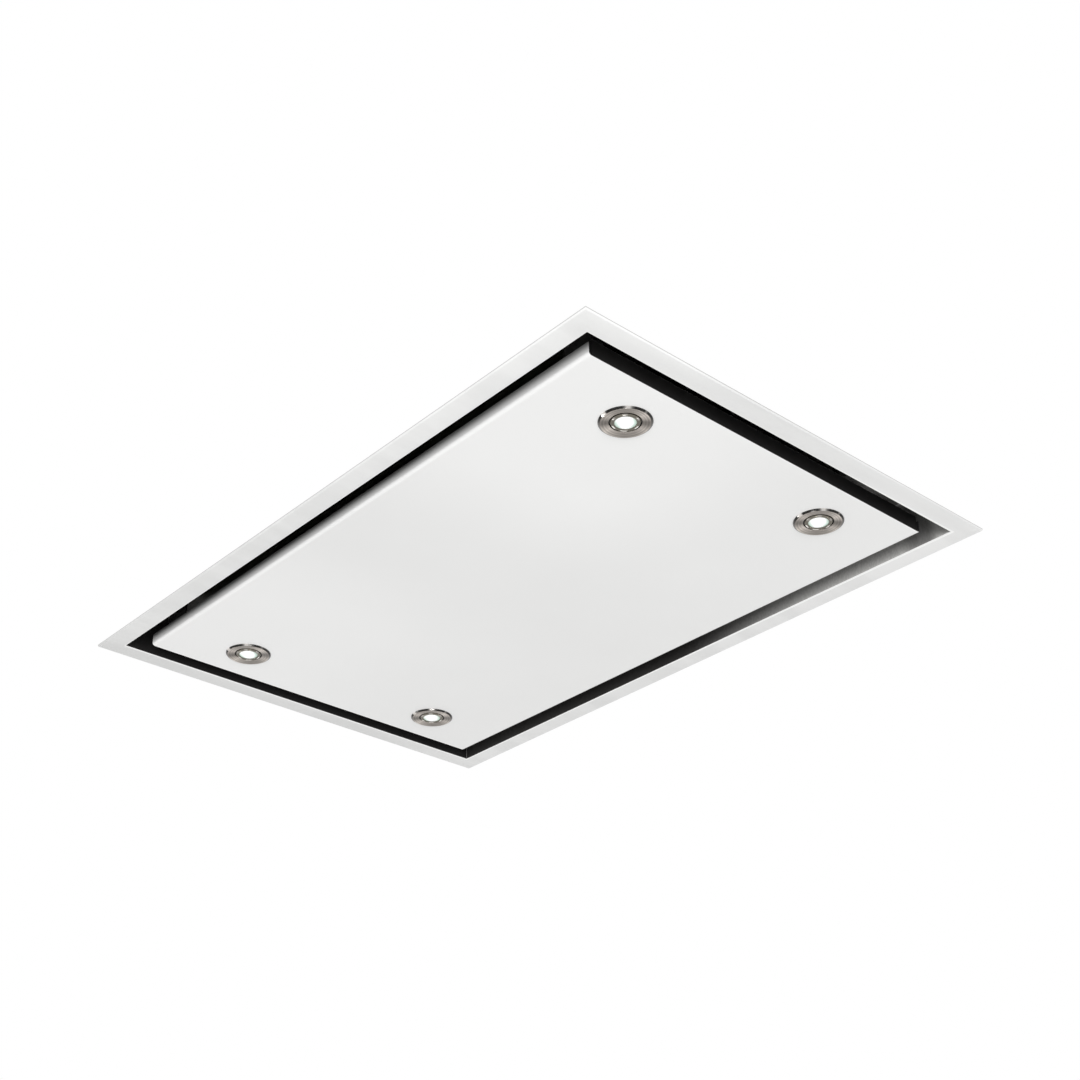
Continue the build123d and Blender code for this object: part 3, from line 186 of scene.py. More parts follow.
class Shader(Graph):
    """A material's graph, with the patterns that the finishes are made of."""

    def __init__(self, name: str) -> None:
        """Starts a material.

        Args:
            name: The material's name.
        """
        self.material = bpy.data.materials.new(name)
        self.material.use_nodes = True
        super().__init__(self.material.node_tree)

    def place(self, centre: Point3 = (0, 0, 0), scale: Point3 = (1, 1, 1)) -> Wire:
        """The place on the object, from a centre and in units of scale.

        Args:
            centre: The place that reads zero.
            scale: The length that reads one, along each axis.

        Returns:
            The coordinates.
        """
        raw = self.node("ShaderNodeTexCoord", output="Object")
        return self.node("ShaderNodeMapping", {"vector_type": "TEXTURE"},
                         {"Vector": raw, "Location": centre, "Scale": scale})

    def axes(self, vector: Wire) -> Tuple[Wire, Wire, Wire]:
        """The three parts of a vector or a colour.

        Args:
            vector: The vector.

        Returns:
            Its x, y and z.
        """
        x = self.node("ShaderNodeSeparateXYZ", inputs={0: vector})
        outputs = x.socket.node.outputs
        return x, Wire(self, outputs[1]), Wire(self, outputs[2])

    def noise(self, vector: Wire, scale: float, detail: float = 2.0) -> Wire:
        """Soft noise from 0 to 1 at a place."""
        return self.node("ShaderNodeTexNoise", None,
                         {"Vector": vector, "Scale": scale, "Detail": detail})

    def lines(self, along: Wire, scale: float) -> Wire:
        """Noise along one value only, which gives lines across it."""
        return self.node("ShaderNodeTexNoise", {"noise_dimensions": "1D"},
                         {"W": along, "Scale": scale, "Detail": 3.0})

    def cells(self, vector: Wire, scale: float, output: str = "Color") -> Wire:
        """A pattern of cells: a tone each, or the distance to the cell's middle."""
        return self.node("ShaderNodeTexVoronoi", None, {"Vector": vector, "Scale": scale}, output)

    def blend(self, factor: Input, low: Union[Wire, Colour], high: Union[Wire, Colour]) -> Wire:
        """A colour between two.

        Args:
            factor: 0 for the first and 1 for the second.
            low: The first colour.
            high: The second colour.

        Returns:
            The colour.
        """
        ends = [(*end, 1.0) if isinstance(end, tuple) else end for end in (low, high)]
        return self.node("ShaderNodeMix", {"data_type": "RGBA"},
                         {0: factor, 6: ends[0], 7: ends[1]}, 2)

    def ramp(self, factor: Wire, stops: Stops) -> Wire:
        """A colour that follows a value through a row of stops."""
        return self.node("ShaderNodeValToRGB", {"stops": stops}, {0: factor})

    def relief(self, height: Wire, depth: float) -> Wire:
        """A bumped normal, from a height of 0 to 1 and what 1 is in metres."""
        return self.node("ShaderNodeBump", None,
                         {"Height": height, "Distance": depth, "Strength": 1.0})

    def finish(self, **sockets: Input) -> bpy.types.Material:
        """Ends the graph in a surface shader.

        Args:
            sockets: The shader's sockets, with _ for a space in their names.

        Returns:
            The material.
        """
        values = {key.replace("_", " "): value for key, value in sockets.items()}
        surface = self.node("ShaderNodeBsdfPrincipled", None, values)
        self.end("ShaderNodeOutputMaterial", surface)
        return self.material


def shaded(colour: Colour, part: float) -> Colour:
    """A colour, part as bright."""
    return tuple(part * channel for channel in colour)


# ---- finishes ----------------------------------------------------------------------------
@dataclass(frozen=True)
class PowderCoat:
    """Powder coat on sheet: a fine peel, and a little unevenness in tone and gloss."""

    name: str
    colour: Colour
    drift: float = 0.03
    roughness: Point2 = (0.32, 0.40)
    peel_gloss: float = 0.02
    peel_depth: float = 0.015 * MM
    clear: float = 0.15
    cloud_scale: float = 6.0
    peel_scale: float = 900.0

    def clouds(self, shader: Shader) -> Wire:
        """The unevenness over the sheet, from 0 to 1."""
        return shader.noise(shader.place(), self.cloud_scale)

    def tint(self, shader: Shader, tone: Wire) -> Wire:
        """The coat's own colour: with its drift at a tone of 0, and without it at 1."""
        return shader.blend(tone, shaded(self.colour, 1 - self.drift), self.colour)

    def colouring(self, shader: Shader, cloud: Wire) -> Wire:
        """The colour over the whole sheet."""
        return self.tint(shader, cloud)

    def material(self) -> bpy.types.Material:
        """The finish as a material.

        Returns:
            The material.
        """
        shader = Shader(self.name)
        cloud = self.clouds(shader)
        peel = shader.noise(shader.place(), self.peel_scale)
        return shader.finish(Base_Color=self.colouring(shader, cloud),
                             Roughness=cloud.spread(*self.roughness) + peel * self.peel_gloss,
                             Coat_Weight=self.clear, Coat_Roughness=0.2,
                             Normal=shader.relief(peel, self.peel_depth))


@dataclass(frozen=True)
class PanelCoat(PowderCoat):
    """The panel's coat: painted light at its ends, a painted highlight round its edge, and
    painted shade up its turned-up long sides.
    """

    drift: float = 0.125
    half_x: float = 401 * MM
    half_y: float = 251 * MM
    # Painted highlight: the lighter colour of a band round the panel's edge.
    rim: Colour = (0.97, 0.97, 0.965)
    rim_highlight_band: Point2 = (-2.2 * MM, -0.88 * MM)
    cloud_swing: float = 0.3
    tone: float = 0.27
    # Painted light: where the coat is lightened towards the ends, how much, and how it fades to
    # the rear.
    lit_x: Point2 = (20 * MM, 220 * MM)
    lit: Point2 = (0.43, 0.58)
    lit_to_outlet: Point2 = (-200 * MM, 200 * MM)
    lit_fades: Point2 = (-100 * MM, 100 * MM)
    rear_fading: float = 0.75
    # The dark of the sheet's back, also used as painted shade up the long sides.
    bare: Colour = (0.03, 0.03, 0.03)
    # Painted shade up the long sides: its strength, the heights it rises over, and where and how
    # much it eases towards the outlet.
    thin: float = 0.9
    side_shade_z: Point2 = (1 * MM, 12.5 * MM)
    side_shade_eased_x: Point2 = (50 * MM, 400 * MM)
    side_shade_eased: float = 0.25
    bend: float = 4 * MM
    bend_z: float = 1 * MM
    bend_inside: Point2 = (3.1 * MM, 3.5 * MM)
    end_x: Point2 = (-1.2 * MM, -0.8 * MM)
    end_y: Point2 = (-4.6 * MM, -4.2 * MM)
    end_z: Point2 = (-2.4 * MM, -1.6 * MM)

    def dark_back_and_painted_shade(self, x: Wire, y: Wire, z: Wire) -> Wire:
        """Where the panel is dark: painted shade up the long sides, and dark inside the bend and
        at its rear ends.

        Args:
            x: The place along the panel.
            y: The place across it.
            z: The height.

        Returns:
            How dark the sheet is, from 0 to 1.
        """
        # Painted shade: darker up the turned-up sides, into the slot, and less so towards the
        # outlet.
        thick = 1.0 - x.between(*self.side_shade_eased_x) * self.side_shade_eased
        side = z.between(*self.side_shade_z) * self.thin * thick
        out = (y.size() - (self.half_y - self.bend)).at_least(0.0)
        down = (self.bend_z - z).at_least(0.0)
        inside = 1.0 - ((out * out + down * down) ** 0.5).between(*self.bend_inside)
        end = x.size().between(self.half_x + self.end_x[0], self.half_x + self.end_x[1])
        end = end * y.between(self.half_y + self.end_y[0], self.half_y + self.end_y[1])
        end = end * z.between(*self.end_z)
        return side.at_least(inside).at_least(end)

    def colouring(self, shader: Shader, cloud: Wire) -> Wire:
        """The colour over the panel.

        Args:
            shader: The material's graph.
            cloud: The unevenness, from 0 to 1.

        Returns:
            The colour.
        """
        x, y, z = shader.axes(shader.place())
        # Painted light towards both ends, stronger towards the outlet and fading to the rear.
        ends = x.size().between(*self.lit_x) * (1.0 - y.between(*self.lit_fades)
                                                * self.rear_fading)
        tone = (cloud - 0.5) * self.cloud_swing + self.tone
        tone = tone + ends * x.between(*self.lit_to_outlet).spread(*self.lit)
        beyond = (x.size() - self.half_x).at_least(y.size() - self.half_y)
        # Painted highlight in the band nearest the panel's edge.
        coat = shader.blend(beyond.between(*self.rim_highlight_band), self.tint(shader, tone), self.rim)
        return shader.blend(self.dark_back_and_painted_shade(x, y, z), coat, self.bare)


@dataclass(frozen=True)
class FlangeCoat(PowderCoat):
    """The trim frame's coat: streaky, with painted light towards the outlet, a painted highlight
    along the slot, and painted shade at the far end and round its outer edge.
    """

    drift: float = 0.222
    inner_x: float = 425 * MM
    inner_y: float = 275 * MM
    outer_x: float = 450 * MM
    outer_y: float = 300 * MM
    # Painted highlight: a lighter band along the slot's edge, wider along the rear towards the
    # outlet.
    edge: Colour = (0.97, 0.97, 0.965)
    slot_highlight_band: Point2 = (0.72 * MM, 1.8 * MM)
    slot_highlight_widens: float = 1.7 * MM
    grows_x: Point2 = (-100 * MM, 400 * MM)
    streak_scale: float = 26.0
    streak_length: Point3 = (1.0, 5.0, 1.0)
    streak_share: float = 0.6
    cloud_swing: float = 0.43
    tone: float = 0.42
    # Painted light: how much the coat is lightened towards the outlet and the long sides, and how
    # it fades to the rear.
    lit: float = 0.35
    lit_x: Point2 = (-200 * MM, 350 * MM)
    lit_y: Point2 = (50 * MM, 200 * MM)
    lit_fades: Point2 = (100 * MM, 280 * MM)
    rear_fading: float = 0.5
    # Painted shade: how much darker the coat is at the far end, towards the front.
    dull: float = 0.42
    far_shade_x: Point2 = (-440 * MM, -410 * MM)
    far_shade_y: Point2 = (50 * MM, 250 * MM)
    # Painted shade: a grey band round the outer edge.
    rim: Colour = (0.55, 0.55, 0.545)
    outer_shade_depth: float = 0.3 * MM
    outer_shade_fade: float = 0.1 * MM
    outer_shade_z: Point2 = (-1.7 * MM, -0.9 * MM)

    def clouds(self, shader: Shader) -> Wire:
        """The unevenness over the flange: clouds with long streaks across it.

        Args:
            shader: The material's graph.

        Returns:
            The unevenness, from 0 to 1.
        """
        cloud = super().clouds(shader)
        streak = shader.noise(shader.place(scale=self.streak_length), self.streak_scale, 4.0)
        return cloud * (1 - self.streak_share) + streak.between(0.35, 0.65) * self.streak_share

    def colouring(self, shader: Shader, cloud: Wire) -> Wire:
        """The colour over the flange.

        Args:
            shader: The material's graph.
            cloud: The unevenness, from 0 to 1.

        Returns:
            The colour.
        """
        x, y, z = shader.axes(shader.place())
        # Painted light.
        lit = x.between(*self.lit_x) * y.size().between(*self.lit_y)
        lit = lit * (1.0 - y.between(*self.lit_fades) * self.rear_fading)
        # Painted shade at the far end.
        dull = (1.0 - x.between(*self.far_shade_x)) * (1.0 - y.between(*self.far_shade_y))
        tone = (cloud - 0.5) * self.cloud_swing + self.tone + lit * self.lit - dull * self.dull
        beyond = (x.size() - self.inner_x).at_least(y.size() - self.inner_y)
        grown = x.between(*self.grows_x) * y.between(0.0, self.inner_y) * self.slot_highlight_widens
        # Painted highlight along the slot's edge.
        bright = 1.0 - (beyond - grown).between(*self.slot_highlight_band)
        coat = shader.blend(bright, self.tint(shader, tone), self.edge)
        # Painted shade round the outer edge.
        outside = (x.size() - (self.outer_x - self.outer_shade_depth)).at_least(
            y.size() - (self.outer_y - self.outer_shade_depth))
        rim = outside.between(0.0, self.outer_shade_fade) * z.between(*self.outer_shade_z)
        return shader.blend(rim, coat, self.rim)


@dataclass(frozen=True)
class SlotWallPaintedLight:
    """Satin dark coat on the slot's rear wall, with painted light strongest at its foot and
    towards the outlet end, and a painted shadow near that end.
    """

    name: str
    dark: Colour = (0.030, 0.029, 0.028)
    # Painted light: the colour the wall is lightened to, and where along it.
    painted_light_colour: Colour = (0.62, 0.615, 0.60)
    painted_light_x: Point2 = (0.0, 290 * MM)
    # Painted shadow near the outlet end: its strength, and where it starts and ends.
    shadow: float = 0.55
    painted_shadow_starts: Point2 = (355 * MM, 378 * MM)
    painted_shadow_ends: Point2 = (395 * MM, 410 * MM)
    # Painted shade up the wall, and the painted light's share up the wall and at its foot.
    wall_z: Point2 = (-1.8 * MM, 17 * MM)
    wall_painted_shade: float = 0.2
    foot_z: Point2 = (-1.8 * MM, 2.2 * MM)
    painted_light_share: Point2 = (0.65, 0.77)
    cloud_scale: float = 300.0
    cloud_length: Point3 = (0.25, 1.0, 1.0)
    cloud_tone: Point2 = (0.55, 1.45)
    grain_scale: float = 900.0
    grain_depth: float = 0.02 * MM
    roughness: Point2 = (0.34, 0.44)

    def material(self) -> bpy.types.Material:
        """The finish as a material.

        Returns:
            The material.
        """
        shader = Shader(self.name)
        place = shader.place()
        x, _, z = shader.axes(place)
        # Painted shadow near the outlet end, painted shade up the wall, and painted light
        # strongest at the foot and towards the outlet, broken up by clouds.
        shadow = x.between(*self.painted_shadow_starts) * (1.0 - x.between(*self.painted_shadow_ends))
        wall = (1.0 - shadow * self.shadow) * (1.0 - z.between(*self.wall_z) * self.wall_painted_shade)
        foot = (1.0 - z.between(*self.foot_z)).spread(*self.painted_light_share)
        cloud = shader.noise(shader.place(scale=self.cloud_length), self.cloud_scale, 4.0)
        painted_light_share = x.between(*self.painted_light_x) * wall * foot * cloud.spread(*self.cloud_tone)
        grain = shader.noise(place, self.grain_scale)
        return shader.finish(Base_Color=shader.blend(painted_light_share, self.dark, self.painted_light_colour),
                             Roughness=grain.spread(*self.roughness), Coat_Weight=0.05,
                             Normal=shader.relief(grain, self.grain_depth))


@dataclass(frozen=True)
class Galvanised:
    """Hot-dip zinc on sheet: crystals that differ in tone and gloss, darker inside the intake
    with a grease film and painted shade.
    """

    name: str
    light: Colour = (0.66, 0.66, 0.655)
    dark: Colour = (0.44, 0.44, 0.44)
    crystals: float = 90.0
    finer: float = 2.6
    finer_share: float = 0.35
    crooked: Point3 = (12 * MM, 12 * MM, 12 * MM)
    crooked_scale: float = 60.0
    # Grease and painted shade: the darker colour inside the intake, and how it fades in.
    grease_and_shade: Colour = (0.17, 0.165, 0.155)
    intake: Point3 = (423.5 * MM, 273.5 * MM, 62.6 * MM)
    grease_and_shade_edge: float = 0.2 * MM
    grease_and_shade_film: Point2 = (0.6, 0.9)
    grain_scale: float = 400.0
    grain_gloss: float = 0.06
    grain_relief: float = 0.3
    roughness: Point2 = (0.30, 0.52)
    depth: float = 0.02 * MM

    def material(self) -> bpy.types.Material:
        """The finish as a material.

        Returns:
            The material.
        """
        shader = Shader(self.name)
        place = shader.place()
        crook = shader.node("ShaderNodeTexNoise", None,
                            {"Vector": place, "Scale": self.crooked_scale}, "Color")
        bent = shader.node("ShaderNodeVectorMath", {"operation": "MULTIPLY_ADD"},
                           {0: crook, 1: self.crooked, 2: place})
        tone = (shader.cells(bent, self.crystals) * (1 - self.finer_share)
                + shader.cells(bent, self.crystals * self.finer) * self.finer_share)
        grain = shader.noise(place, self.grain_scale)
        x, y, z = shader.axes(place)
        # Darker inside the intake: partly a grease film, partly painted shade.
        half_x, half_y, top = self.intake
        within = (half_x - x.size()).at_most(half_y - y.size()).at_most(top - z)
        grease_and_shade_film = within.between(0.0, self.grease_and_shade_edge) * grain.spread(*self.grease_and_shade_film)
        zinc = shader.blend(tone, self.dark, self.light)
        return shader.finish(Base_Color=shader.blend(grease_and_shade_film, zinc, self.grease_and_shade), Metallic=0.9,
                             Roughness=tone.spread(*self.roughness) + grain * self.grain_gloss,
                             Normal=shader.relief(tone + grain * self.grain_relief, self.depth))


@dataclass(frozen=True)
class Turned:
    """Metal faced on a lathe: fine circles round a centre, and fans of sheen painted in its
    colour.

    With a band, the fans show only between its two radii, as painted glints that are less
    metallic, so that they stay bright under any light; beyond the band the gap is painted dark, a
    painted shade.
    """

    name: str
    centre: Point3
    fans: Stops
    turns: float = 2.0
    circles: float = 0.3
    roughness: Point2 = (0.30, 0.42)
    band: Optional[Point2] = None
    band_fade: float = 0.5 * MM
    # Painted shade in the gap beyond the band: how far it fades in, and its colour.
    gap_shade_fade: float = 0.3 * MM
    seat: Colour = (0.02, 0.02, 0.02)
    glint: Point2 = (0.4, 0.9)
    glint_dulling: float = 0.85
    fine_scale: float = 1500.0
    wide_scale: float = 620.0
    wide_share: float = 0.65
    wide_relief: float = 0.5
    depth: float = 0.02 * MM

    def material(self) -> bpy.types.Material:
        """The finish as a material.

        Returns:
            The material.
        """
        shader = Shader(self.name)
        x, y, _ = shader.axes(shader.place(self.centre))
        radius = (x * x + y * y) ** 0.5
        fine = shader.lines(radius, self.fine_scale)
        wide = shader.lines(radius, self.wide_scale)
        turned = (y.angle_with(x) * (self.turns / (2 * math.pi)) + self.turns).remainder()
        # Painted sheen: the colour follows the angle round the centre.
        fan = shader.ramp(turned, self.fans)
        metallic: Input = 1.0
        if self.band:
            low, high = self.band
            inside = radius.between(low, low + self.band_fade)
            inside = inside * (1.0 - radius.between(high - self.band_fade, high))
            fan = shader.blend(inside, self.fans[0][1], fan)
            # Painted shade in the gap beyond the band.
            fan = shader.blend(radius.between(high, high + self.gap_shade_fade), fan, self.seat)
            # The painted glints are less metallic.
            red, _, _ = shader.axes(fan)
            metallic = 1.0 - red.between(*self.glint) * self.glint_dulling
        lines = fine * (1 - self.wide_share) + wide * self.wide_share
        shade = (lines - 0.5) * self.circles + 1.0
        grey = shader.node("ShaderNodeCombineXYZ", None, {0: shade, 1: shade, 2: shade})
        tone = shader.node("ShaderNodeVectorMath", {"operation": "MULTIPLY"}, {0: fan, 1: grey})
        return shader.finish(Base_Color=tone, Metallic=metallic,
                             Roughness=fine.spread(*self.roughness),
                             Normal=shader.relief(fine + wide * self.wide_relief, self.depth))


@dataclass(frozen=True)
class Polished:
    """Polished metal with the hairlines of wiping."""

    name: str
    colour: Colour
    least_roughness: float = 0.06
    smudge_scale: float = 120.0
    smudge_tone: float = 0.86
    smudge_gloss: float = 0.06
    hair_scale: float = 2500.0
    hair_length: Point3 = (9.0, 1.0, 1.0)
    hair_gloss: float = 0.04
    hair_depth: float = 0.002 * MM

    def material(self) -> bpy.types.Material:
        """The finish as a material.

        Returns:
            The material.
        """
        shader = Shader(self.name)
        smudge = shader.noise(shader.place(), self.smudge_scale, 3.0)
        hair = shader.noise(shader.place(scale=self.hair_length), self.hair_scale)
        tone = shader.blend(smudge, shaded(self.colour, self.smudge_tone), self.colour)
        gloss = smudge * self.smudge_gloss + hair * self.hair_gloss + self.least_roughness
        return shader.finish(Base_Color=tone, Metallic=1.0, Roughness=gloss,
                             Normal=shader.relief(hair, self.hair_depth))


@dataclass(frozen=True)
class Moulded:
    """Moulded plastic, rubber or cast metal: an even colour with a fine grain."""

    name: str
    colour: Colour
    roughness: Point2 = (0.43, 0.57)
    grain: float = 1400.0
    depth: float = 0.03 * MM
    metallic: float = 0.0
    drift: float = 0.18
    along: Point3 = (1.0, 1.0, 1.0)
    detail: float = 3.0
    cloud_scale: float = 22.0
    grain_share: float = 0.5

    def material(self) -> bpy.types.Material:
        """The finish as a material.

        Returns:
            The material.
        """
        shader = Shader(self.name)
        grain = shader.noise(shader.place(scale=self.along), self.grain, self.detail)
        cloud = shader.noise(shader.place(), self.cloud_scale)
        tone = grain * self.grain_share + cloud * (1 - self.grain_share)
        darker = shaded(self.colour, 1 - self.drift)
        return shader.finish(Base_Color=shader.blend(tone, darker, self.colour),
                             Metallic=self.metallic, Roughness=grain.spread(*self.roughness),
                             Normal=shader.relief(grain, self.depth))


@dataclass(frozen=True)
class Brushed(Moulded):
    """Rolled or brushed metal: the grain is fine lines along one axis."""

    roughness: Point2 = (0.29, 0.41)
    grain: float = 1800.0
    depth: float = 0.006 * MM
    metallic: float = 1.0
    drift: float = 0.14
    along: Point3 = (40.0, 1.0, 1.0)
    detail: float = 2.0
    cloud_scale: float = 14.0
    grain_share: float = 0.6


@dataclass(frozen=True)
class Foam:
    """Closed-cell foam: small bubbles cut open."""

    name: str
    colour: Colour
    bubbles: float = 900.0
    wall: Point2 = (0.1, 0.7)
    shadow: float = 0.45
    depth: float = 0.3 * MM

    def material(self) -> bpy.types.Material:
        """The finish as a material.

        Returns:
            The material.
        """
        shader = Shader(self.name)
        bubble = shader.cells(shader.place(), self.bubbles, "Distance").between(*self.wall)
        tone = shader.blend(bubble, shaded(self.colour, self.shadow), self.colour)
        return shader.finish(Base_Color=tone, Roughness=0.92,
                             Normal=shader.relief(bubble, self.depth))


@dataclass(frozen=True)
class Laminated:
    """A motor's stack of lacquered steel sheets: level lines, one a sheet."""

    name: str
    colour: Colour
    pitch: float = 1 * MM
    gap: Point2 = (-1.0, 0.2)
    cloud_scale: float = 60.0
    cloud_share: float = 0.6
    shadow: float = 0.6
    roughness: Point2 = (0.3, 0.5)
    depth: float = 0.1 * MM

    def material(self) -> bpy.types.Material:
        """The finish as a material.

        Returns:
            The material.
        """
        shader = Shader(self.name)
        place = shader.place()
        _, _, z = shader.axes(place)
        sheets = (z * (2 * math.pi / self.pitch)).cosine().between(*self.gap)
        cloud = shader.noise(place, self.cloud_scale, 3.0)
        tone = cloud * self.cloud_share + sheets * (1 - self.cloud_share)
        darker = shaded(self.colour, self.shadow)
        return shader.finish(Base_Color=shader.blend(tone, darker, self.colour), Metallic=0.85,
                             Roughness=cloud.spread(*self.roughness),
                             Normal=shader.relief(sheets, self.depth))


@dataclass(frozen=True)
class LitLens:
    """A lit lamp behind a clear lens: white, with a painted green tinge towards one side of the
    rim, standing in for light that the rim bends.

    Each lean is the angle that the tinge leans to, the cosine at which it starts, and how
    strong it is there.
    """

    name: str
    centre: Point3
    radius: float
    white: Colour = (1.0, 1.0, 1.0)
    tinge: Colour = (0.40, 0.56, 0.47)
    leans: Sequence[Point3] = ((0.99, 0.35, 1.0), (-2.73, 0.6, 0.9))
    tinge_reach: Point2 = (0.5, 0.97)
    rays: float = 0.55
    ray_count: float = 7.0
    ray_tone: Point2 = (0.5, 0.75)
    ray_reach: Point2 = (0.2, 0.6)
    rim: Colour = (0.36, 0.37, 0.33)
    rim_share: float = 0.7
    rim_reach: Point2 = (0.84, 1.0)
    rings: float = 9.0
    ring_depth: float = 0.05 * MM

    def material(self) -> bpy.types.Material:
        """The finish as a material.

        Returns:
            The material.
        """
        shader = Shader(self.name)
        x, y, _ = shader.axes(shader.place(self.centre))
        reach = ((x * x + y * y) ** 0.5) / self.radius
        angle = y.angle_with(x)
        # Painted tinge: green towards the lean angles near the rim, and along faint rays.
        lean = sum((angle - to).cosine().between(start, 1.0) * strength
                   for to, start, strength in self.leans)
        rays = shader.lines(angle, self.ray_count).between(*self.ray_tone)
        rays = rays * reach.between(*self.ray_reach) * self.rays
        green = (reach.between(*self.tinge_reach) * lean).at_least(rays)
        glow = shader.blend(green, self.white, self.tinge)
        glow = shader.blend(reach.between(*self.rim_reach) * self.rim_share, glow, self.rim)
        return shader.finish(Base_Color=glow, Roughness=0.12, Emission_Color=glow,
                             Emission_Strength=0.25,
                             Normal=shader.relief(shader.lines(reach, self.rings),
                                                  self.ring_depth))


class Slot(Enum):
    """The material slots of the record."""

    WHITE = "white_paint"
    DARK = "dark_paint"
    ZINC = "galvanised"
    SCREW = "zinc_screw"
    FILTER = "filter_alu"
    MESH = "filter_mesh"
    FOAM = "foam"
    RUBBER = "rubber"
    BLACK = "black_plastic"
    GREY = "grey_plastic"
    MOTOR = "motor_steel"
    FAN = "fan_steel"
    CAPACITOR = "cap_alu"
    NICKEL = "nickel_brushed"
    BRIGHT = "nickel_polished"
    LENS = "lamp_lens"
    MAGNET = "ferrite"
    HEAT_SINK = "heat_sink"


def slot_finishes() -> Dict[Slot, bpy.types.Material]:
    """One material for each slot of the record.

    Returns:
        The materials by slot.
    """
    finishes = {
        Slot.WHITE: PanelCoat("white_powder_coat", (0.93, 0.93, 0.925)),
        Slot.DARK: PowderCoat("dark_powder_coat", (0.022, 0.021, 0.021), drift=0.3,
                              roughness=(0.30, 0.38), peel_depth=0.02 * MM, clear=0.05),
        Slot.ZINC: Galvanised("spangled_zinc"),
        Slot.SCREW: Polished("zinc_plate", (0.62, 0.61, 0.57), 0.24),
        Slot.FILTER: Brushed("rolled_aluminium", (0.60, 0.59, 0.57)),
        Slot.MESH: Brushed("expanded_aluminium", (0.52, 0.50, 0.47), (0.33, 0.45),
                           along=(1.0, 1.0, 1.0)),
        Slot.FOAM: Foam("seal_foam", (0.12, 0.12, 0.125)),
        Slot.RUBBER: Moulded("buffer_rubber", (0.03, 0.03, 0.03), (0.58, 0.72), 900.0),
        Slot.BLACK: Moulded("black_plastic", (0.028, 0.028, 0.03), (0.35, 0.49)),
        Slot.GREY: Moulded("grey_plastic", (0.42, 0.43, 0.44), drift=0.06),
        Slot.MOTOR: Laminated("motor_laminations", (0.34, 0.34, 0.35)),
        Slot.FAN: Galvanised("drum_zinc", (0.62, 0.63, 0.64), (0.5, 0.51, 0.52), 260.0),
        Slot.CAPACITOR: Brushed("drawn_aluminium", (0.74, 0.74, 0.75), (0.21, 0.33),
                                along=(1.0, 1.0, 40.0)),
        Slot.NICKEL: Brushed("brushed_nickel", (0.5, 0.47, 0.44)),
        Slot.BRIGHT: Polished("polished_nickel", (0.5, 0.47, 0.43)),
        Slot.LENS: Moulded("opal_lens", (0.9, 0.9, 0.88), (0.13, 0.27)),
        Slot.MAGNET: Moulded("magnet_case", (0.05, 0.05, 0.055), (0.53, 0.67)),
        Slot.HEAT_SINK: Moulded("cast_heat_sink", (0.30, 0.30, 0.31), (0.43, 0.57), 700.0,
                                0.06 * MM, 0.8),
    }
    return {slot: finish.material() for slot, finish in finishes.items()}


# ---- mesh helpers ------------------------------------------------------------------------
WELD = 0.001 * MM


def rounded_outline(shape: bmesh.types.BMesh, corners: Sequence[Point3], closed: bool = True,
                    segments: int = 4) -> None:
    """Draws an outline in the XZ plane and rounds its corners.

    Args:
        shape: The mesh that the outline is added to.
        corners: The x and z of each corner, and the length that its rounding takes.
        closed: Whether the last corner joins the first.
        segments: How many edges a rounding has.
    """
    points = [shape.verts.new((x, 0.0, z)) for x, z, _ in corners]
    for first, second in zip(points, points[1:] + points[:1] if closed else points[1:]):
        shape.edges.new((first, second))
    for point, (_, _, size) in zip(points, corners):
        if size:
            bmesh.ops.bevel(shape, geom=[point], offset=size, offset_type="OFFSET",
                            segments=segments, profile=0.5, affect="VERTICES", material=-1)


def from_mm(rows: Sequence[Point3], x: float, z: float) -> List[Point3]:
    """A profile's corners in metres, from rows in millimetres and the point they start at."""
    return [(x + out * MM, z + up * MM, size * MM) for out, up, size in rows]


def lathe(corners: Sequence[Point3], steps: int, closed: bool = True,
          segments: int = 4) -> bmesh.types.BMesh:
    """Turns a rounded outline round the Z axis.

    Args:
        corners: The radius and height of each corner, and the length that its rounding takes.
        steps: How many steps the turn has.
        closed: Whether the outline is a closed one, as a ring's is.
        segments: How many edges a rounding has.

    Returns:
        The turned mesh.
    """
    shape = bmesh.new()
    rounded_outline(shape, corners, closed, segments)
    bmesh.ops.spin(shape, geom=shape.verts[:] + shape.edges[:], cent=(0, 0, 0), axis=(0, 0, 1),
                   dvec=(0, 0, 0), angle=2 * math.pi, steps=steps, use_merge=True,
                   use_normal_flip=False, use_duplicate=False)
    bmesh.ops.remove_doubles(shape, verts=shape.verts, dist=WELD)
    return shape


def add(target: bmesh.types.BMesh, source: bmesh.types.BMesh,
        matrices: Iterable[Matrix] = (Matrix.Identity(4),)) -> None:
    """Adds copies of one mesh to another and frees the first.

    Args:
        target: The mesh that grows.
        source: The mesh that is copied.
        matrices: Where each copy goes.
    """
    holder = bpy.data.meshes.new("holder")
    source.to_mesh(holder)
    source.free()
    for matrix in matrices:
        before = len(target.verts)
        target.from_mesh(holder)
        target.verts.ensure_lookup_table()
        bmesh.ops.transform(target, matrix=matrix, verts=target.verts[before:])
    bpy.data.meshes.remove(holder)


def box(low: Point3, high: Point3, edge: float) -> bmesh.types.BMesh:
    """A block between two corners, with its edges rounded.

    Args:
        low: Its lowest corner.
        high: Its highest corner.
        edge: How much its edges are rounded.

    Returns:
        The block.
    """
    shape = bmesh.new()
    size = Vector(high) - Vector(low)
    centre = (Vector(high) + Vector(low)) / 2
    bmesh.ops.create_cube(shape, size=1.0,
                          matrix=Matrix.Translation(centre) @ Matrix.Diagonal((*size, 1.0)))
    bmesh.ops.bevel(shape, geom=shape.edges[:], offset=edge, offset_type="OFFSET",
                    segments=2, profile=0.5, affect="EDGES", material=-1)
    return shape


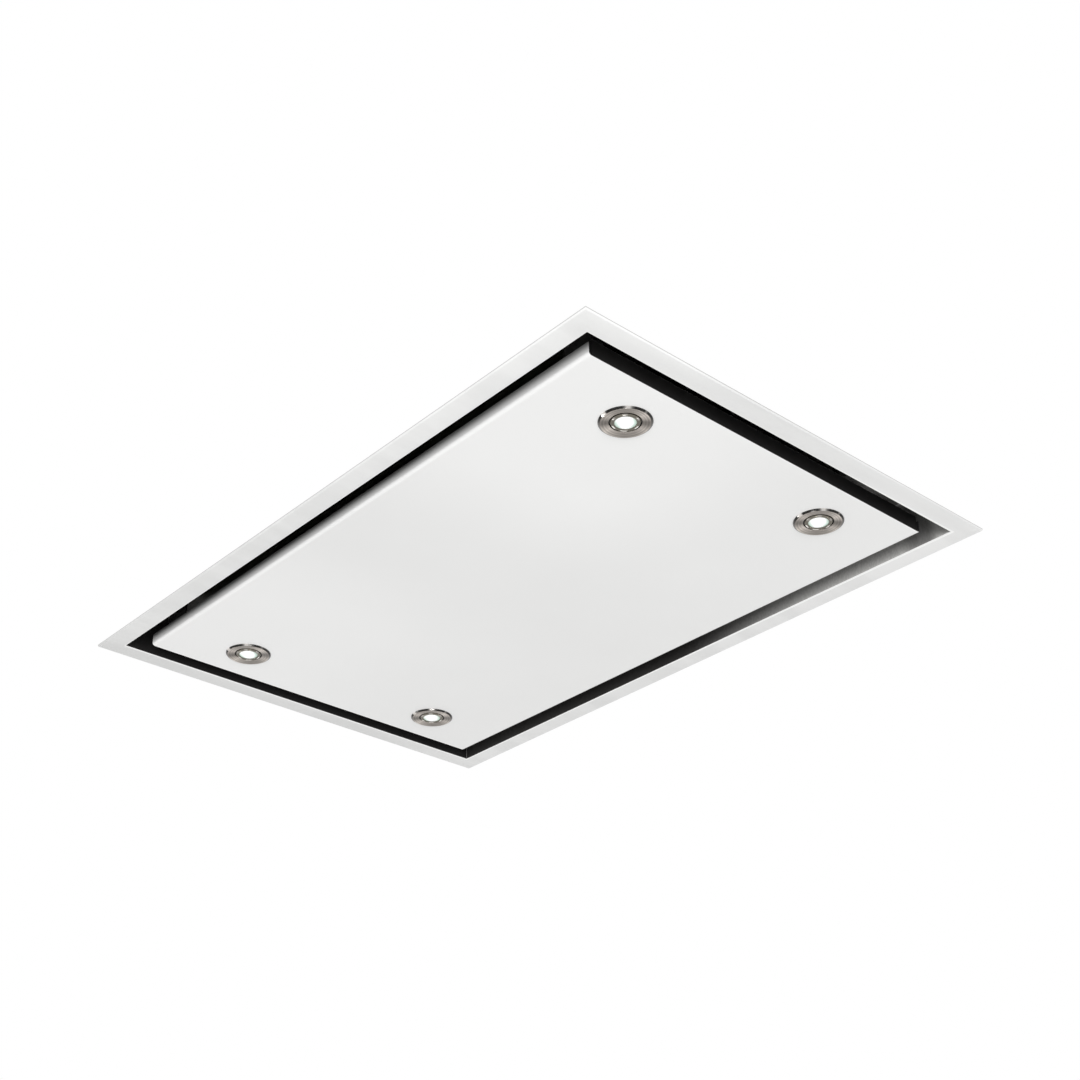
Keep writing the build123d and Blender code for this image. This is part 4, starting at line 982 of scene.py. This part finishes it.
def new_object(name: str, shape: bmesh.types.BMesh,
               finishes: Sequence[bpy.types.Material]) -> bpy.types.Object:
    """Puts an object in the scene.

    Args:
        name: Its name.
        shape: Its mesh, which is freed.
        finishes: Its materials, in the order of its faces' numbers.

    Returns:
        The object.
    """
    mesh = bpy.data.meshes.new(name)
    shape.to_mesh(mesh)
    shape.free()
    for finish in finishes:
        mesh.materials.append(finish)
    made = bpy.data.objects.new(name, mesh)
    bpy.context.scene.collection.objects.link(made)
    return made


@dataclass
class Piece:
    """A finished mesh of the scene, and what it belongs to."""

    name: str
    body: str
    slot: Slot
    finishes: Sequence[bpy.types.Material]
    replaced: Sequence[str]
    sharp: float = 32.0

    def make(self, shape: bmesh.types.BMesh) -> None:
        """Makes the object, rides it on its body and hides the CAD nodes that it stands for.

        Args:
            shape: Its mesh, which is freed.
        """
        bmesh.ops.recalc_face_normals(shape, faces=shape.faces)
        made = new_object(self.name, shape, self.finishes)
        mesh = made.data
        mesh.polygons.foreach_set("use_smooth", [True] * len(mesh.polygons))
        mesh.set_sharp_from_angle(angle=math.radians(self.sharp))
        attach(made, self.body)
        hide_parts(*self.replaced)
        LOG.info("%s: %d faces on %s", self.name, len(mesh.polygons), self.body)


@dataclass
class MitredRing:
    """Folded sheet carried round a rectangle, with a mitre in each corner."""

    half_x: float
    half_y: float
    section: Sequence[Point3]
    mitre_edge: float = 0.1 * MM
    rounding_steps: int = 5

    def build(self) -> bmesh.types.BMesh:
        """Carries the section round the four corners, each with its mitre's flat.

        Returns:
            The ring.
        """
        ring = bmesh.new()
        rounded_outline(ring, self.section, segments=self.rounding_steps)
        outline = list(ring.verts)
        number = {vert: place for place, vert in enumerate(outline)}
        steps = [(number[edge.verts[0]], number[edge.verts[1]]) for edge in ring.edges]
        flat, rows = self.mitre_edge, []
        for turn, (side, end) in enumerate(((-1, -1), (1, -1), (1, 1), (-1, 1))):
            for cut_x, cut_y in ((0, flat), (flat, 0))[::1 if turn % 2 == 0 else -1]:
                rows.append([ring.verts.new((side * (self.half_x - vert.co.x - cut_x),
                                             end * (self.half_y - vert.co.x - cut_y),
                                             vert.co.z)) for vert in outline])
        for row, after in zip(rows, rows[1:] + rows[:1]):
            for first, second in steps:
                ring.faces.new((row[first], row[second], after[second], after[first]))
        bmesh.ops.delete(ring, geom=outline, context="VERTS")
        return ring


# ---- the hood's sub-assemblies -----------------------------------------------------------
@dataclass
class TrimFrame:
    """The white flange under the ceiling."""

    half_x: float = 450 * MM
    half_y: float = 300 * MM
    face: float = 25 * MM
    depth: float = 3 * MM
    sheet: float = 1.2 * MM
    bend: float = 1.5 * MM
    lip: float = 0.55 * MM
    soft: float = 0.3 * MM
    inner_bend: float = 0.2 * MM
    colour: Colour = (0.90, 0.90, 0.895)

    def build(self) -> None:
        """Makes the four mitred bars."""
        low, top = -self.depth, self.sheet - self.depth
        section = [(0, 0, self.soft), (0, low, self.bend), (self.face, low, self.lip),
                   (self.face, top, self.soft), (self.sheet, top, self.inner_bend),
                   (self.sheet, 0, self.soft)]
        ring = MitredRing(self.half_x, self.half_y, section).build()
        coat = FlangeCoat("flange_powder_coat", self.colour, inner_x=self.half_x - self.face,
                          inner_y=self.half_y - self.face, outer_x=self.half_x,
                          outer_y=self.half_y)
        Piece("trim_frame_bars", "chassis", Slot.WHITE, [coat.material()],
              ["trim_frame"]).make(ring)


@dataclass
class SlotLiner:
    """The dark wall round the suction slot."""

    half_x: float = 425 * MM
    half_y: float = 275 * MM
    low: float = -1.8 * MM
    top: float = 55 * MM
    foot: float = 12 * MM
    sheet: float = 1 * MM
    soft: float = 0.2 * MM
    fold: float = 0.4 * MM
    fold_area: float = 100 * MM * MM
    # Painted highlight: the light grey of the corner folds.
    fold_highlight: Colour = (0.30, 0.295, 0.29)

    def build(self, dark: bpy.types.Material) -> None:
        """Makes the wall and the foot that lies on the trim frame.

        Args:
            dark: The dark coat.
        """
        floor = self.low + self.sheet
        section = [(0, self.low, self.soft), (-self.foot, self.low, self.soft),
                   (-self.foot, floor, self.soft), (-self.sheet, floor, 0),
                   (-self.sheet, self.top, self.soft), (0, self.top, self.soft)]
        ring = MitredRing(self.half_x, self.half_y, section, self.fold).build()
        # The rear wall takes the painted light, and the corner folds the painted highlight.
        for face in ring.faces:
            centre = face.calc_center_median()
            rear = abs(centre.y - self.half_y) < self.soft and abs(centre.x) < self.half_x
            across = abs(abs(centre.x) - abs(centre.y) - self.half_x + self.half_y)
            inside = abs(centre.y) < self.half_y + self.soft
            if across < self.fold and face.calc_area() < self.fold_area and inside:
                face.material_index = 2
            else:
                face.material_index = 1 if rear else 0
        fold_highlight = PowderCoat("painted_fold_highlight", self.fold_highlight, drift=0.4, roughness=(0.36, 0.44))
        Piece("slot_liner_walls", "chassis", Slot.DARK,
              [dark, SlotWallPaintedLight("slot_wall_painted_light").material(), fold_highlight.material()],
              ["slot_liner"]).make(ring)


# The painted sheen, reflections and glints of a spot's turned parts: the place of each tone, in
# parts of the turn that the tones repeat in, and its brightness. A bead also has half its width.
# Painted sheen in fans on the flat face.
FACE_PAINTED_SHEEN = ((0.0, 0.60), (0.076, 0.80), (0.15, 0.60), (0.24, 0.26), (0.31, 0.28),
              (0.44, 0.66), (0.60, 0.42), (0.77, 0.37), (0.88, 0.44), (1.0, 0.60))
# Painted reflections on the rolled edge: dark arcs and light glints.
EDGE_PAINTED_REFLECTIONS = ((0.0, 0.05), (0.014, 0.30), (0.028, 0.06), (0.14, 0.11), (0.24, 0.20),
              (0.38, 0.20), (0.52, 0.20), (0.62, 0.17), (0.68, 0.06), (0.705, 0.05),
              (0.715, 0.95), (0.742, 0.95), (0.754, 0.04), (0.858, 0.04), (0.872, 0.22),
              (0.885, 0.80), (0.902, 0.80), (0.918, 0.22), (0.935, 0.04), (1.0, 0.05))
# Painted glints on the bead.
BEAD_PAINTED_GLINTS = ((0.049, 0.5, 0.018), (0.227, 0.95, 0.024), (0.402, 1.0, 0.032),
         (0.549, 1.0, 0.024), (0.721, 0.5, 0.018), (0.874, 0.5, 0.016))


def tinted(tones: Sequence[Point2], warm: Colour) -> Stops:
    """The tones as stops of a warm white."""
    return [(place, shaded(warm, tone)) for place, tone in tones]


def painted_bead_glints(warm: Colour = (1.0, 0.96, 0.90), dull: Colour = (0.25, 0.232, 0.195),
           fade: float = 0.018) -> Stops:
    """The stops of the painted glints on the swivel ring's bead, round a whole turn.

    Args:
        warm: The painted glints' colour.
        dull: The colour between them.
        fade: How far a glint takes to fade, as a part of the turn.

    Returns:
        The stops.
    """
    stops = [(0.0, dull)]
    for place, tone, half in BEAD_PAINTED_GLINTS:
        glint = shaded(warm, tone)
        stops += [(place - half - fade, dull), (place - half, glint), (place + half, glint),
                  (place + half + fade, dull)]
    return stops + [(1.0, dull)]


@dataclass
class Spot:
    """One tilting spot of the panel: its fixed bezel, its swivel ring and its lens.

    The rows of ring_front start at the lens's seat and those of lens_front at its middle: the
    radius and height of each corner, and the length of its rounding, in millimetres.
    """

    name: str
    x: float
    y: float
    radius: float = 28 * MM
    face: float = -5 * MM
    panel: float = -3 * MM
    mouth: float = 17 * MM
    bore: float = 17.8 * MM
    tube: float = 20.5 * MM
    top: float = 8 * MM
    soft: float = 0.3 * MM
    edge_width: float = 2.1 * MM
    edge_rise: float = 1.25 * MM
    dish: float = 0.8 * MM
    lip_width: float = 0.6 * MM
    lip_rise: float = 0.3 * MM
    ledge: Point2 = (2.1 * MM, 2.8 * MM)
    ball: float = 17.4 * MM
    ball_centre: float = 1 * MM
    ball_low: float = -2.6 * MM
    ball_top: float = 6 * MM
    ball_steps: int = 8
    ring_face: float = -4.88 * MM
    ring_front: Sequence[Point3] = ((0, 0.6, 0), (-0.35, 0.55, 0), (-0.35, 0.3, 0.2),
                                    (0.95, -0.1, 1.2), (3.35, -0.1, 1.4), (3.7, 2.4, 0.4))
    ring_step: float = 3.3 * MM
    ring_bore: float = 10.6 * MM
    pocket: float = -2.68 * MM
    pin_radius: float = 1 * MM
    pin_length: float = 2.6 * MM
    pin_reach: float = 17.9 * MM
    lens_radius: float = 11.7 * MM
    lens_seat: float = 11.8 * MM
    lens_face: float = -4.25 * MM
    lens_back: float = -2.65 * MM
    lens_front: Sequence[Point3] = ((0, -0.5, 0), (4.2, -0.42, 0.3), (4.5, -0.3, 0),
                                    (7.6, -0.22, 0.3), (8.0, -0.08, 0), (10.9, 0, 0.3),
                                    (11.7, 0.4, 0.1))
    lamp: float = 10.5 * MM
    lamp_top: float = 9 * MM

    def _move(self, shape: bmesh.types.BMesh) -> bmesh.types.BMesh:
        """Moves a mesh from the spot's axis to its place on the panel."""
        bmesh.ops.translate(shape, verts=shape.verts, vec=(self.x, self.y, 0))
        return shape

    def build_bezel(self, turned: bpy.types.Material, bright: bpy.types.Material) -> None:
        """Makes the flange with its polished edge, and the tube behind it.

        Args:
            turned: The flange's face.
            bright: Its rolled edge and the mouth's lip.
        """
        flat, dished = self.radius - self.edge_width, self.face + self.dish
        shape = lathe([(self.mouth, dished + self.lip_rise, self.soft),
                       (self.mouth + self.lip_width, dished, 0.4 * MM),
                       (flat, self.face, 0.15 * MM),
                       (self.radius, self.face + self.edge_rise, self.soft),
                       (self.radius, self.panel, 0.0), (self.tube, self.panel, 0.0),
                       (self.tube, self.top, self.soft), (self.bore, self.top, self.soft),
                       (self.bore, self.face + self.ledge[1], 0.0),
                       (self.mouth, self.face + self.ledge[0], 0.2 * MM)], steps=128)
        for face in shape.faces:
            centre = face.calc_center_median()
            reach = math.hypot(centre.x, centre.y)
            face.material_index = 0 if reach < flat + 0.05 * MM and centre.z < self.panel else 1
        Piece("spot_bezel_" + self.name, "panel", Slot.NICKEL, [turned, bright],
              ["spot_bezels"]).make(self._move(shape))

    def build_swivel(self, bright: bpy.types.Material) -> None:
        """Makes the ring that tilts: a ball's zone with a rounded bead round the lens.

        Args:
            bright: The polished metal.
        """
        corners = from_mm(self.ring_front, self.lens_seat, self.ring_face)
        corners.append((self.lens_seat + self.ring_step, self.ball_low, 0.2 * MM))
        for index in range(self.ball_steps + 1):
            z = self.ball_low + (self.ball_top - self.ball_low) * index / self.ball_steps
            rise = z - self.ball_centre
            corners.append((math.sqrt(self.ball ** 2 - rise ** 2), z, 0.0))
        corners += [(self.ring_bore, self.ball_top, 0.2 * MM),
                    (self.ring_bore, self.pocket, 0.0), (self.lens_seat, self.pocket, 0.0)]
        shape = lathe(corners, steps=96)
        for side in (-1, 1):
            pin = bmesh.new()
            bmesh.ops.create_cone(pin, cap_ends=True, cap_tris=False, segments=24,
                                  radius1=self.pin_radius, radius2=self.pin_radius,
                                  depth=self.pin_length)
            place = Matrix.Translation((side * self.pin_reach, 0, self.ball_centre))
            add(shape, pin, [place @ Matrix.Rotation(math.pi / 2, 4, "Y")])
        Piece("spot_ring_" + self.name, "spot_" + self.name, Slot.BRIGHT, [bright],
              ["spot_swivel_" + self.name]).make(self._move(shape))

    def build_lens(self, lit: bpy.types.Material, case: bpy.types.Material) -> None:
        """Makes the domed lens with its rings, and the lamp behind it.

        Args:
            lit: The lit lens.
            case: The lamp's case.
        """
        corners = from_mm(self.lens_front, 0.0, self.lens_face)
        corners += [(self.lens_radius, self.lens_back, 0.2 * MM),
                    (self.lamp, self.lens_back, 0.0), (self.lamp, self.lamp_top, 0.4 * MM),
                    (0.0, self.lamp_top, 0.0)]
        shape = lathe(corners, steps=72, closed=False)
        for face in shape.faces:
            face.material_index = 1 if face.calc_center_median().z > self.lens_back else 0
        Piece("spot_lamp_" + self.name, "spot_" + self.name, Slot.LENS, [lit, case],
              ["spot_lens_" + self.name]).make(self._move(shape))

    def build(self, case: bpy.types.Material) -> None:
        """Makes the whole spot.

        Args:
            case: The finish of the lamp's case.
        """
        centre = (self.x, self.y, 0.0)
        # The face carries painted sheen, the edge painted reflections, and the bead painted
        # glints with painted shade in its gap.
        turned = Turned("turned_nickel_painted_sheen_" + self.name, centre,
                        tinted(FACE_PAINTED_SHEEN, (1.0, 0.915, 0.84)), circles=1.3)
        edge = Turned("bezel_edge_painted_reflections_" + self.name, centre, tinted(EDGE_PAINTED_REFLECTIONS, (1.0, 0.96, 0.92)),
                      turns=1.0, circles=0.1, roughness=(0.08, 0.20))
        bead = Turned("bead_nickel_painted_glints_" + self.name, centre, painted_bead_glints(), turns=1.0, circles=0.1,
                      roughness=(0.10, 0.22), band=(12.8 * MM, 15.6 * MM))
        lit = LitLens("lit_lens_" + self.name, centre, self.lens_radius)
        self.build_bezel(turned.material(), edge.material())
        self.build_swivel(bead.material())
        self.build_lens(lit.material(), case)


@dataclass
class GreaseFilter:
    """One grease filter: its metal mesh in three layers, and the latch under its front bar."""

    name: str
    x: float
    half_x: float = 123 * MM
    half_y: float = 158 * MM
    bottom: float = 53.75 * MM
    top: float = 60.65 * MM
    sheet_in: float = 0.4 * MM
    wire: float = 0.45 * MM
    cell: Point2 = (9.6 * MM, 4.8 * MM)
    shrink: float = 0.7071
    strand: float = 0.55 * MM
    pleats: int = 30
    pleat_in: Point2 = (1.2 * MM, 1.6 * MM)
    pleat_sheet: float = 0.3 * MM
    latch_half: float = 18 * MM
    latch_low: float = 50.9 * MM
    latch_sheet: float = 1.5 * MM
    latch_front: float = -165 * MM
    latch_rear: float = -131 * MM
    pull: float = 7 * MM
    ribs: int = 3
    rib_half: float = 14 * MM
    rib_height: float = 0.8 * MM
    rib_reach: Point2 = (3.2 * MM, 1.4 * MM)
    rib_drop: float = 1.9 * MM
    rib_pitch: float = 1.6 * MM

    def lattice(self, z: float) -> bmesh.types.BMesh:
        """A sheet of expanded metal.

        Args:
            z: The height of its middle.

        Returns:
            The sheet.
        """
        shape = bmesh.new()
        cells = int(2 * self.half_x / self.cell[0]) + int(2 * self.half_y / self.cell[1]) + 4
        turn = Matrix.Rotation(math.pi / 4, 4, "Z")
        bmesh.ops.create_grid(shape, x_segments=cells, y_segments=cells,
                              size=cells / 2 * self.shrink,
                              matrix=Matrix.Diagonal((*self.cell, 1.0, 1.0)) @ turn)
        for side in (Vector((-1, 0, 0)), Vector((1, 0, 0)), Vector((0, -1, 0)),
                     Vector((0, 1, 0))):
            bmesh.ops.bisect_plane(shape, geom=shape.verts[:] + shape.edges[:] + shape.faces[:],
                                   plane_co=side * (self.half_x if side.x else self.half_y),
                                   plane_no=side, clear_outer=True)
        rims = set(bmesh.ops.inset_individual(shape, faces=shape.faces[:], depth=0.0,
                                              thickness=self.strand,
                                              use_even_offset=True)["faces"])
        holes = [face for face in shape.faces if face not in rims]
        bmesh.ops.delete(shape, geom=holes, context="FACES")
        bmesh.ops.solidify(shape, geom=shape.faces[:], thickness=self.wire)
        bmesh.ops.translate(shape, verts=shape.verts, vec=(self.x, 0, z))
        return shape

    def core(self) -> bmesh.types.BMesh:
        """The pleated layer between the two sheets.

        Returns:
            The layer.
        """
        shape = bmesh.new()
        bmesh.ops.create_grid(shape, x_segments=2 * self.pleats, y_segments=1, size=1.0,
                              matrix=Matrix.Diagonal((self.half_x, self.half_y, 1.0, 1.0)))
        pitch = self.half_x / self.pleats
        for vert in shape.verts:
            odd = round((vert.co.x + self.half_x) / pitch) % 2
            vert.co.z = self.bottom + self.pleat_in[0] if odd else self.top - self.pleat_in[1]
            vert.co.x += self.x
        bmesh.ops.solidify(shape, geom=shape.faces[:], thickness=self.pleat_sheet)
        return shape

    def build_mesh(self, mesh: bpy.types.Material) -> None:
        """Makes the three layers of mesh.

        Args:
            mesh: The bare aluminium.
        """
        layers = self.lattice(self.bottom + self.sheet_in)
        add(layers, self.lattice(self.top - self.sheet_in))
        add(layers, self.core())
        Piece("filter_layers_" + self.name, "chassis", Slot.MESH, [mesh],
              ["filter_mesh_" + self.name], sharp=25.0).make(layers)

    def build_latch(self, black: bpy.types.Material) -> None:
        """Makes the sliding latch with its ribbed finger pull.

        Args:
            black: The moulded plastic.
        """
        low, rear = self.latch_low, self.latch_rear
        left, right = self.x - self.latch_half, self.x + self.latch_half
        latch = box((left, self.latch_front, low), (right, rear, low + self.latch_sheet),
                    edge=0.4 * MM)
        add(latch, box((left, rear - self.latch_sheet, low - self.pull),
                       (right, rear, low + 1.0 * MM), edge=0.5 * MM))
        front, back = self.rib_reach
        rib = box((self.x - self.rib_half, rear - front, 0.0),
                  (self.x + self.rib_half, rear - back, self.rib_height), edge=0.25 * MM)
        low -= self.rib_drop
        add(latch, rib, [Matrix.Translation((0, 0, low - self.rib_pitch * step))
                         for step in range(self.ribs)])
        Piece("latch_slider_" + self.name, "latch_" + self.name, Slot.BLACK, [black],
              ["filter_latch_" + self.name]).make(latch)


@dataclass
class ScrewSet:
    """The pan-head screws of one CAD node, with threads and cross recesses."""

    node: str
    head: float = 3.8 * MM
    height: float = 2.2 * MM
    shank: float = 1.9 * MM
    root: float = 1.55 * MM
    length: float = 7 * MM
    point: Point2 = (0.93 * MM, 0.4 * MM)
    threads: int = 5
    first_thread: float = 0.8 * MM
    pitch: float = 1.2 * MM
    flank: float = 0.35 * MM
    arm: float = 1.9 * MM
    half_arm: float = 0.42 * MM
    recess: float = 1 * MM
    taper: float = 0.6
    head_side: float = 0.45
    head_top: float = 0.62
    turn: float = 37.0

    def screw(self) -> bmesh.types.BMesh:
        """One screw, its head standing on zero.

        Returns:
            The screw.
        """
        corners = [(0.0, -self.length, 0.0), (self.point[0], self.point[1] - self.length, 0.0)]
        for turn in range(self.threads):
            z = self.first_thread - self.length + turn * self.pitch
            corners += [(self.root, z, 0.0), (self.shank, z + self.flank, 0.0),
                        (self.root, z + 2 * self.flank, 0.0)]
        corners += [(self.root, 0.0, 0.0), (self.head, 0.0, 0.15 * MM),
                    (self.head, self.height * self.head_side, 0.3 * MM),
                    (self.head * self.head_top, self.height, 0.5 * MM)]
        shape = lathe(corners, steps=20, closed=False, segments=2)
        rim = [edge for edge in shape.edges if edge.is_boundary]
        quarter = [(self.arm, -self.half_arm), (self.arm, self.half_arm),
                   (self.half_arm, self.half_arm)]
        cross = []
        for _ in range(4):
            cross += [shape.verts.new((x, y, self.height)) for x, y in quarter]
            quarter = [(-y, x) for x, y in quarter]
        loop = [shape.edges.new(pair) for pair in zip(cross, cross[1:] + cross[:1])]
        bmesh.ops.bridge_loops(shape, edges=rim + loop)
        floor = shape.faces.new(cross)
        sunk = bmesh.ops.extrude_face_region(shape, geom=[floor])["geom"]
        shape.faces.remove(floor)
        deep = [item for item in sunk if isinstance(item, bmesh.types.BMVert)]
        bmesh.ops.translate(shape, verts=deep, vec=(0, 0, -self.recess))
        bmesh.ops.scale(shape, verts=deep, vec=(self.taper, self.taper, 1.0))
        return shape

    def seats(self) -> List[Vector]:
        """Where the heads of the CAD node's screws stand.

        Returns:
            One point a screw.
        """
        copy = bmesh.new()
        copy.from_mesh(frame["nodes"][self.node].data)
        bmesh.ops.remove_doubles(copy, verts=copy.verts, dist=10 * WELD)
        seen, seats = set(), []
        for start in copy.verts:
            if start in seen:
                continue
            seen.add(start)
            island = [start]
            for vert in island:
                near = {edge.other_vert(vert) for edge in vert.link_edges} - seen
                seen |= near
                island += near
            low, high = ([reach(vert.co[axis] for vert in island) for axis in range(3)]
                         for reach in (min, max))
            seats.append(Vector(((low[0] + high[0]) / 2, (low[1] + high[1]) / 2,
                                 high[2] - self.height)))
        copy.free()
        return seats

    def build(self, zinc: bpy.types.Material) -> None:
        """Makes all the node's screws as one piece, each turned its own way.

        Args:
            zinc: The plated steel.
        """
        turn = math.radians(self.turn)
        places = [Matrix.Translation(seat) @ Matrix.Rotation(turn * number, 4, "Z")
                  for number, seat in enumerate(self.seats())]
        screws = bmesh.new()
        add(screws, self.screw(), places)
        Piece(self.node + "_cross", "chassis", Slot.SCREW, [zinc], [self.node],
              sharp=40.0).make(screws)


# ---- studio ------------------------------------------------------------------------------
@dataclass
class Studio:
    """The ceiling, the floor, the light and the photograph's camera."""

    floor_z: float = -2.45
    floor_tones: Tuple[Colour, Colour] = ((0.80, 0.80, 0.795), (0.83, 0.83, 0.825))
    reach: float = 7.0
    cut_x: float = 435 * MM
    cut_y: float = 285 * MM
    ambient: float = 0.7
    lamps: Sequence[Tuple[Point3, float, float]] = (
        ((-2.39, -0.57, -2.3), 0.36, 6.0), ((0.42, 1.94, -2.3), 0.36, 5.0),
        ((0.05, -0.05, -2.3), 0.36, 5.0), ((2.97, -2.54, -0.83), 1.2, 72.0))
    glints_below: float = 1.0
    eye: Point3 = (1.3233, -1.1281, -0.9522)
    look: Point3 = (-0.64608, 0.57118, 0.5063)
    up: Point3 = (0.38158, -0.33278, 0.86235)
    lens: float = 55.897
    sensor: float = 36.0
    sight: float = 50.0

    def ceiling(self) -> None:
        """A white ceiling with the hood's cut-out: only the camera sees it, from below."""
        shape = bmesh.new()
        for half_x, half_y in ((self.reach, self.reach), (self.cut_x, self.cut_y)):
            bmesh.ops.create_grid(shape, x_segments=1, y_segments=1, size=1.0,
                                  matrix=Matrix.Diagonal((half_x, half_y, 1, 1)))
        bmesh.ops.delete(shape, geom=list(shape.faces), context="FACES_ONLY")
        bmesh.ops.bridge_loops(shape, edges=shape.edges[:])
        for face in shape.faces:
            face.normal_update()
            if face.normal.z > 0:
                face.normal_flip()
        shader = Shader("ceiling_white")
        white = shader.node("ShaderNodeEmission", None, {"Color": (1, 1, 1, 1), "Strength": 1.0})
        clear = shader.node("ShaderNodeBsdfTransparent")
        above = shader.node("ShaderNodeNewGeometry", output="Backfacing")
        shader.end("ShaderNodeOutputMaterial",
                   shader.node("ShaderNodeMixShader", None, {0: above, 1: white, 2: clear}))
        ceiling = new_object("ceiling", shape, [shader.material])
        for ray in ("diffuse", "glossy", "transmission", "volume_scatter", "shadow"):
            setattr(ceiling, "visible_" + ray, False)
        ceiling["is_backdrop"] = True

    def floor(self) -> None:
        """The pale floor of the room."""
        shape = bmesh.new()
        bmesh.ops.create_grid(shape, x_segments=1, y_segments=1, size=self.reach,
                              matrix=Matrix.Translation((0, 0, self.floor_z)))
        shader = Shader("pale_floor")
        pale = shader.blend(shader.noise(shader.place(), 2.0), *self.floor_tones)
        floor = new_object("floor", shape, [shader.finish(Base_Color=pale, Roughness=0.85)])
        floor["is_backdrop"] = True

    def light(self) -> None:
        """Even light from all round, and soft lamps below that glint in the spots."""
        world = bpy.data.worlds.new("studio")
        bpy.context.scene.world = world
        world.use_nodes = True
        graph = Graph(world.node_tree)
        camera, glossy, through = (graph.node("ShaderNodeLightPath", output=ray) for ray in (
            "Is Camera Ray", "Is Glossy Ray", "Is Transmission Ray"))
        lit, seen = (graph.node("ShaderNodeBackground", None,
                                {"Color": (1, 1, 1, 1), "Strength": strength})
                     for strength in (self.ambient, 1.0))
        factor = camera.at_least(glossy).at_least(through)
        graph.end("ShaderNodeOutputWorld",
                  graph.node("ShaderNodeMixShader", None, {0: factor, 1: lit, 2: seen}))
        for number, (place, side, power) in enumerate(self.lamps):
            data = bpy.data.lights.new("soft_lamp_%d" % number, "AREA")
            data.size = side
            data.energy = power
            lamp = bpy.data.objects.new(data.name, data)
            lamp.location = place
            lamp.rotation_mode = "QUATERNION"
            lamp.rotation_quaternion = (-Vector(place)).to_track_quat("-Z", "Y")
            lamp.visible_camera = False
            lamp.visible_glossy = side < self.glints_below
            bpy.context.scene.collection.objects.link(lamp)

    def camera(self) -> None:
        """The photograph's camera, below the hood and looking up at it."""
        data = bpy.data.cameras.new("camera")
        data.sensor_width = self.sensor
        data.lens = self.lens
        data.clip_end = self.sight
        camera = bpy.data.objects.new("camera", data)
        back = -Vector(self.look).normalized()
        up = Vector(self.up)
        up = (up - up.dot(back) * back).normalized()
        turn = Matrix((up.cross(back), up, back)).transposed().to_4x4()
        camera.matrix_world = Matrix.Translation(self.eye) @ turn
        bpy.context.scene.collection.objects.link(camera)
        bpy.context.scene.camera = camera

    def build(self) -> None:
        """Makes the whole setting."""
        self.camera()
        self.light()
        self.floor()
        self.ceiling()
        bpy.context.scene.view_settings.view_transform = "Standard"


@dataclass
class Hood:
    """The whole hood, in the order in which it is dressed."""

    finishes: Dict[Slot, bpy.types.Material]
    spots: Dict[str, Point2] = field(default_factory=lambda: {
        "front_left": (-343 * MM, -147 * MM), "front_right": (343 * MM, -147 * MM),
        "rear_right": (343 * MM, 147 * MM), "rear_left": (-343 * MM, 147 * MM)})
    filters: Dict[str, float] = field(default_factory=lambda: {
        "left": -255 * MM, "middle": 0.0, "right": 255 * MM})
    screws: Sequence[str] = ("cover_screws", "suspension_screws", "deck_screws")

    def dress(self) -> None:
        """Gives every CAD node its slot's finish."""
        for part in frame["record"]["subparts"]:
            for slot in frame["nodes"][part["node"]].material_slots:
                slot.material = self.finishes[Slot(part["material_slot"])]

    def build(self) -> None:
        """Dresses the CAD nodes and builds the scene's own pieces."""
        self.dress()
        TrimFrame().build()
        SlotLiner().build(self.finishes[Slot.DARK])
        for name, (x, y) in self.spots.items():
            Spot(name, x, y).build(self.finishes[Slot.HEAT_SINK])
        for name, x in self.filters.items():
            one = GreaseFilter(name, x)
            one.build_mesh(self.finishes[Slot.MESH])
            one.build_latch(self.finishes[Slot.BLACK])
        for node in self.screws:
            ScrewSet(node).build(self.finishes[Slot.SCREW])


def corners(bounds: Tuple[Vector, Vector]) -> List[List[float]]:
    """A box's corners as plain lists."""
    return [[float(part) for part in corner] for corner in bounds]


def main() -> None:
    """Builds the hood and its setting, and works out the box of the CAD solids and of the whole.
    """
    logging.basicConfig(level=logging.INFO, format="%(message)s")
    solids = corners(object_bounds())
    Studio().build()
    Hood(slot_finishes()).build()
    {"cad": solids, "visual": corners(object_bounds())}


if __name__ == "__main__":
    main()
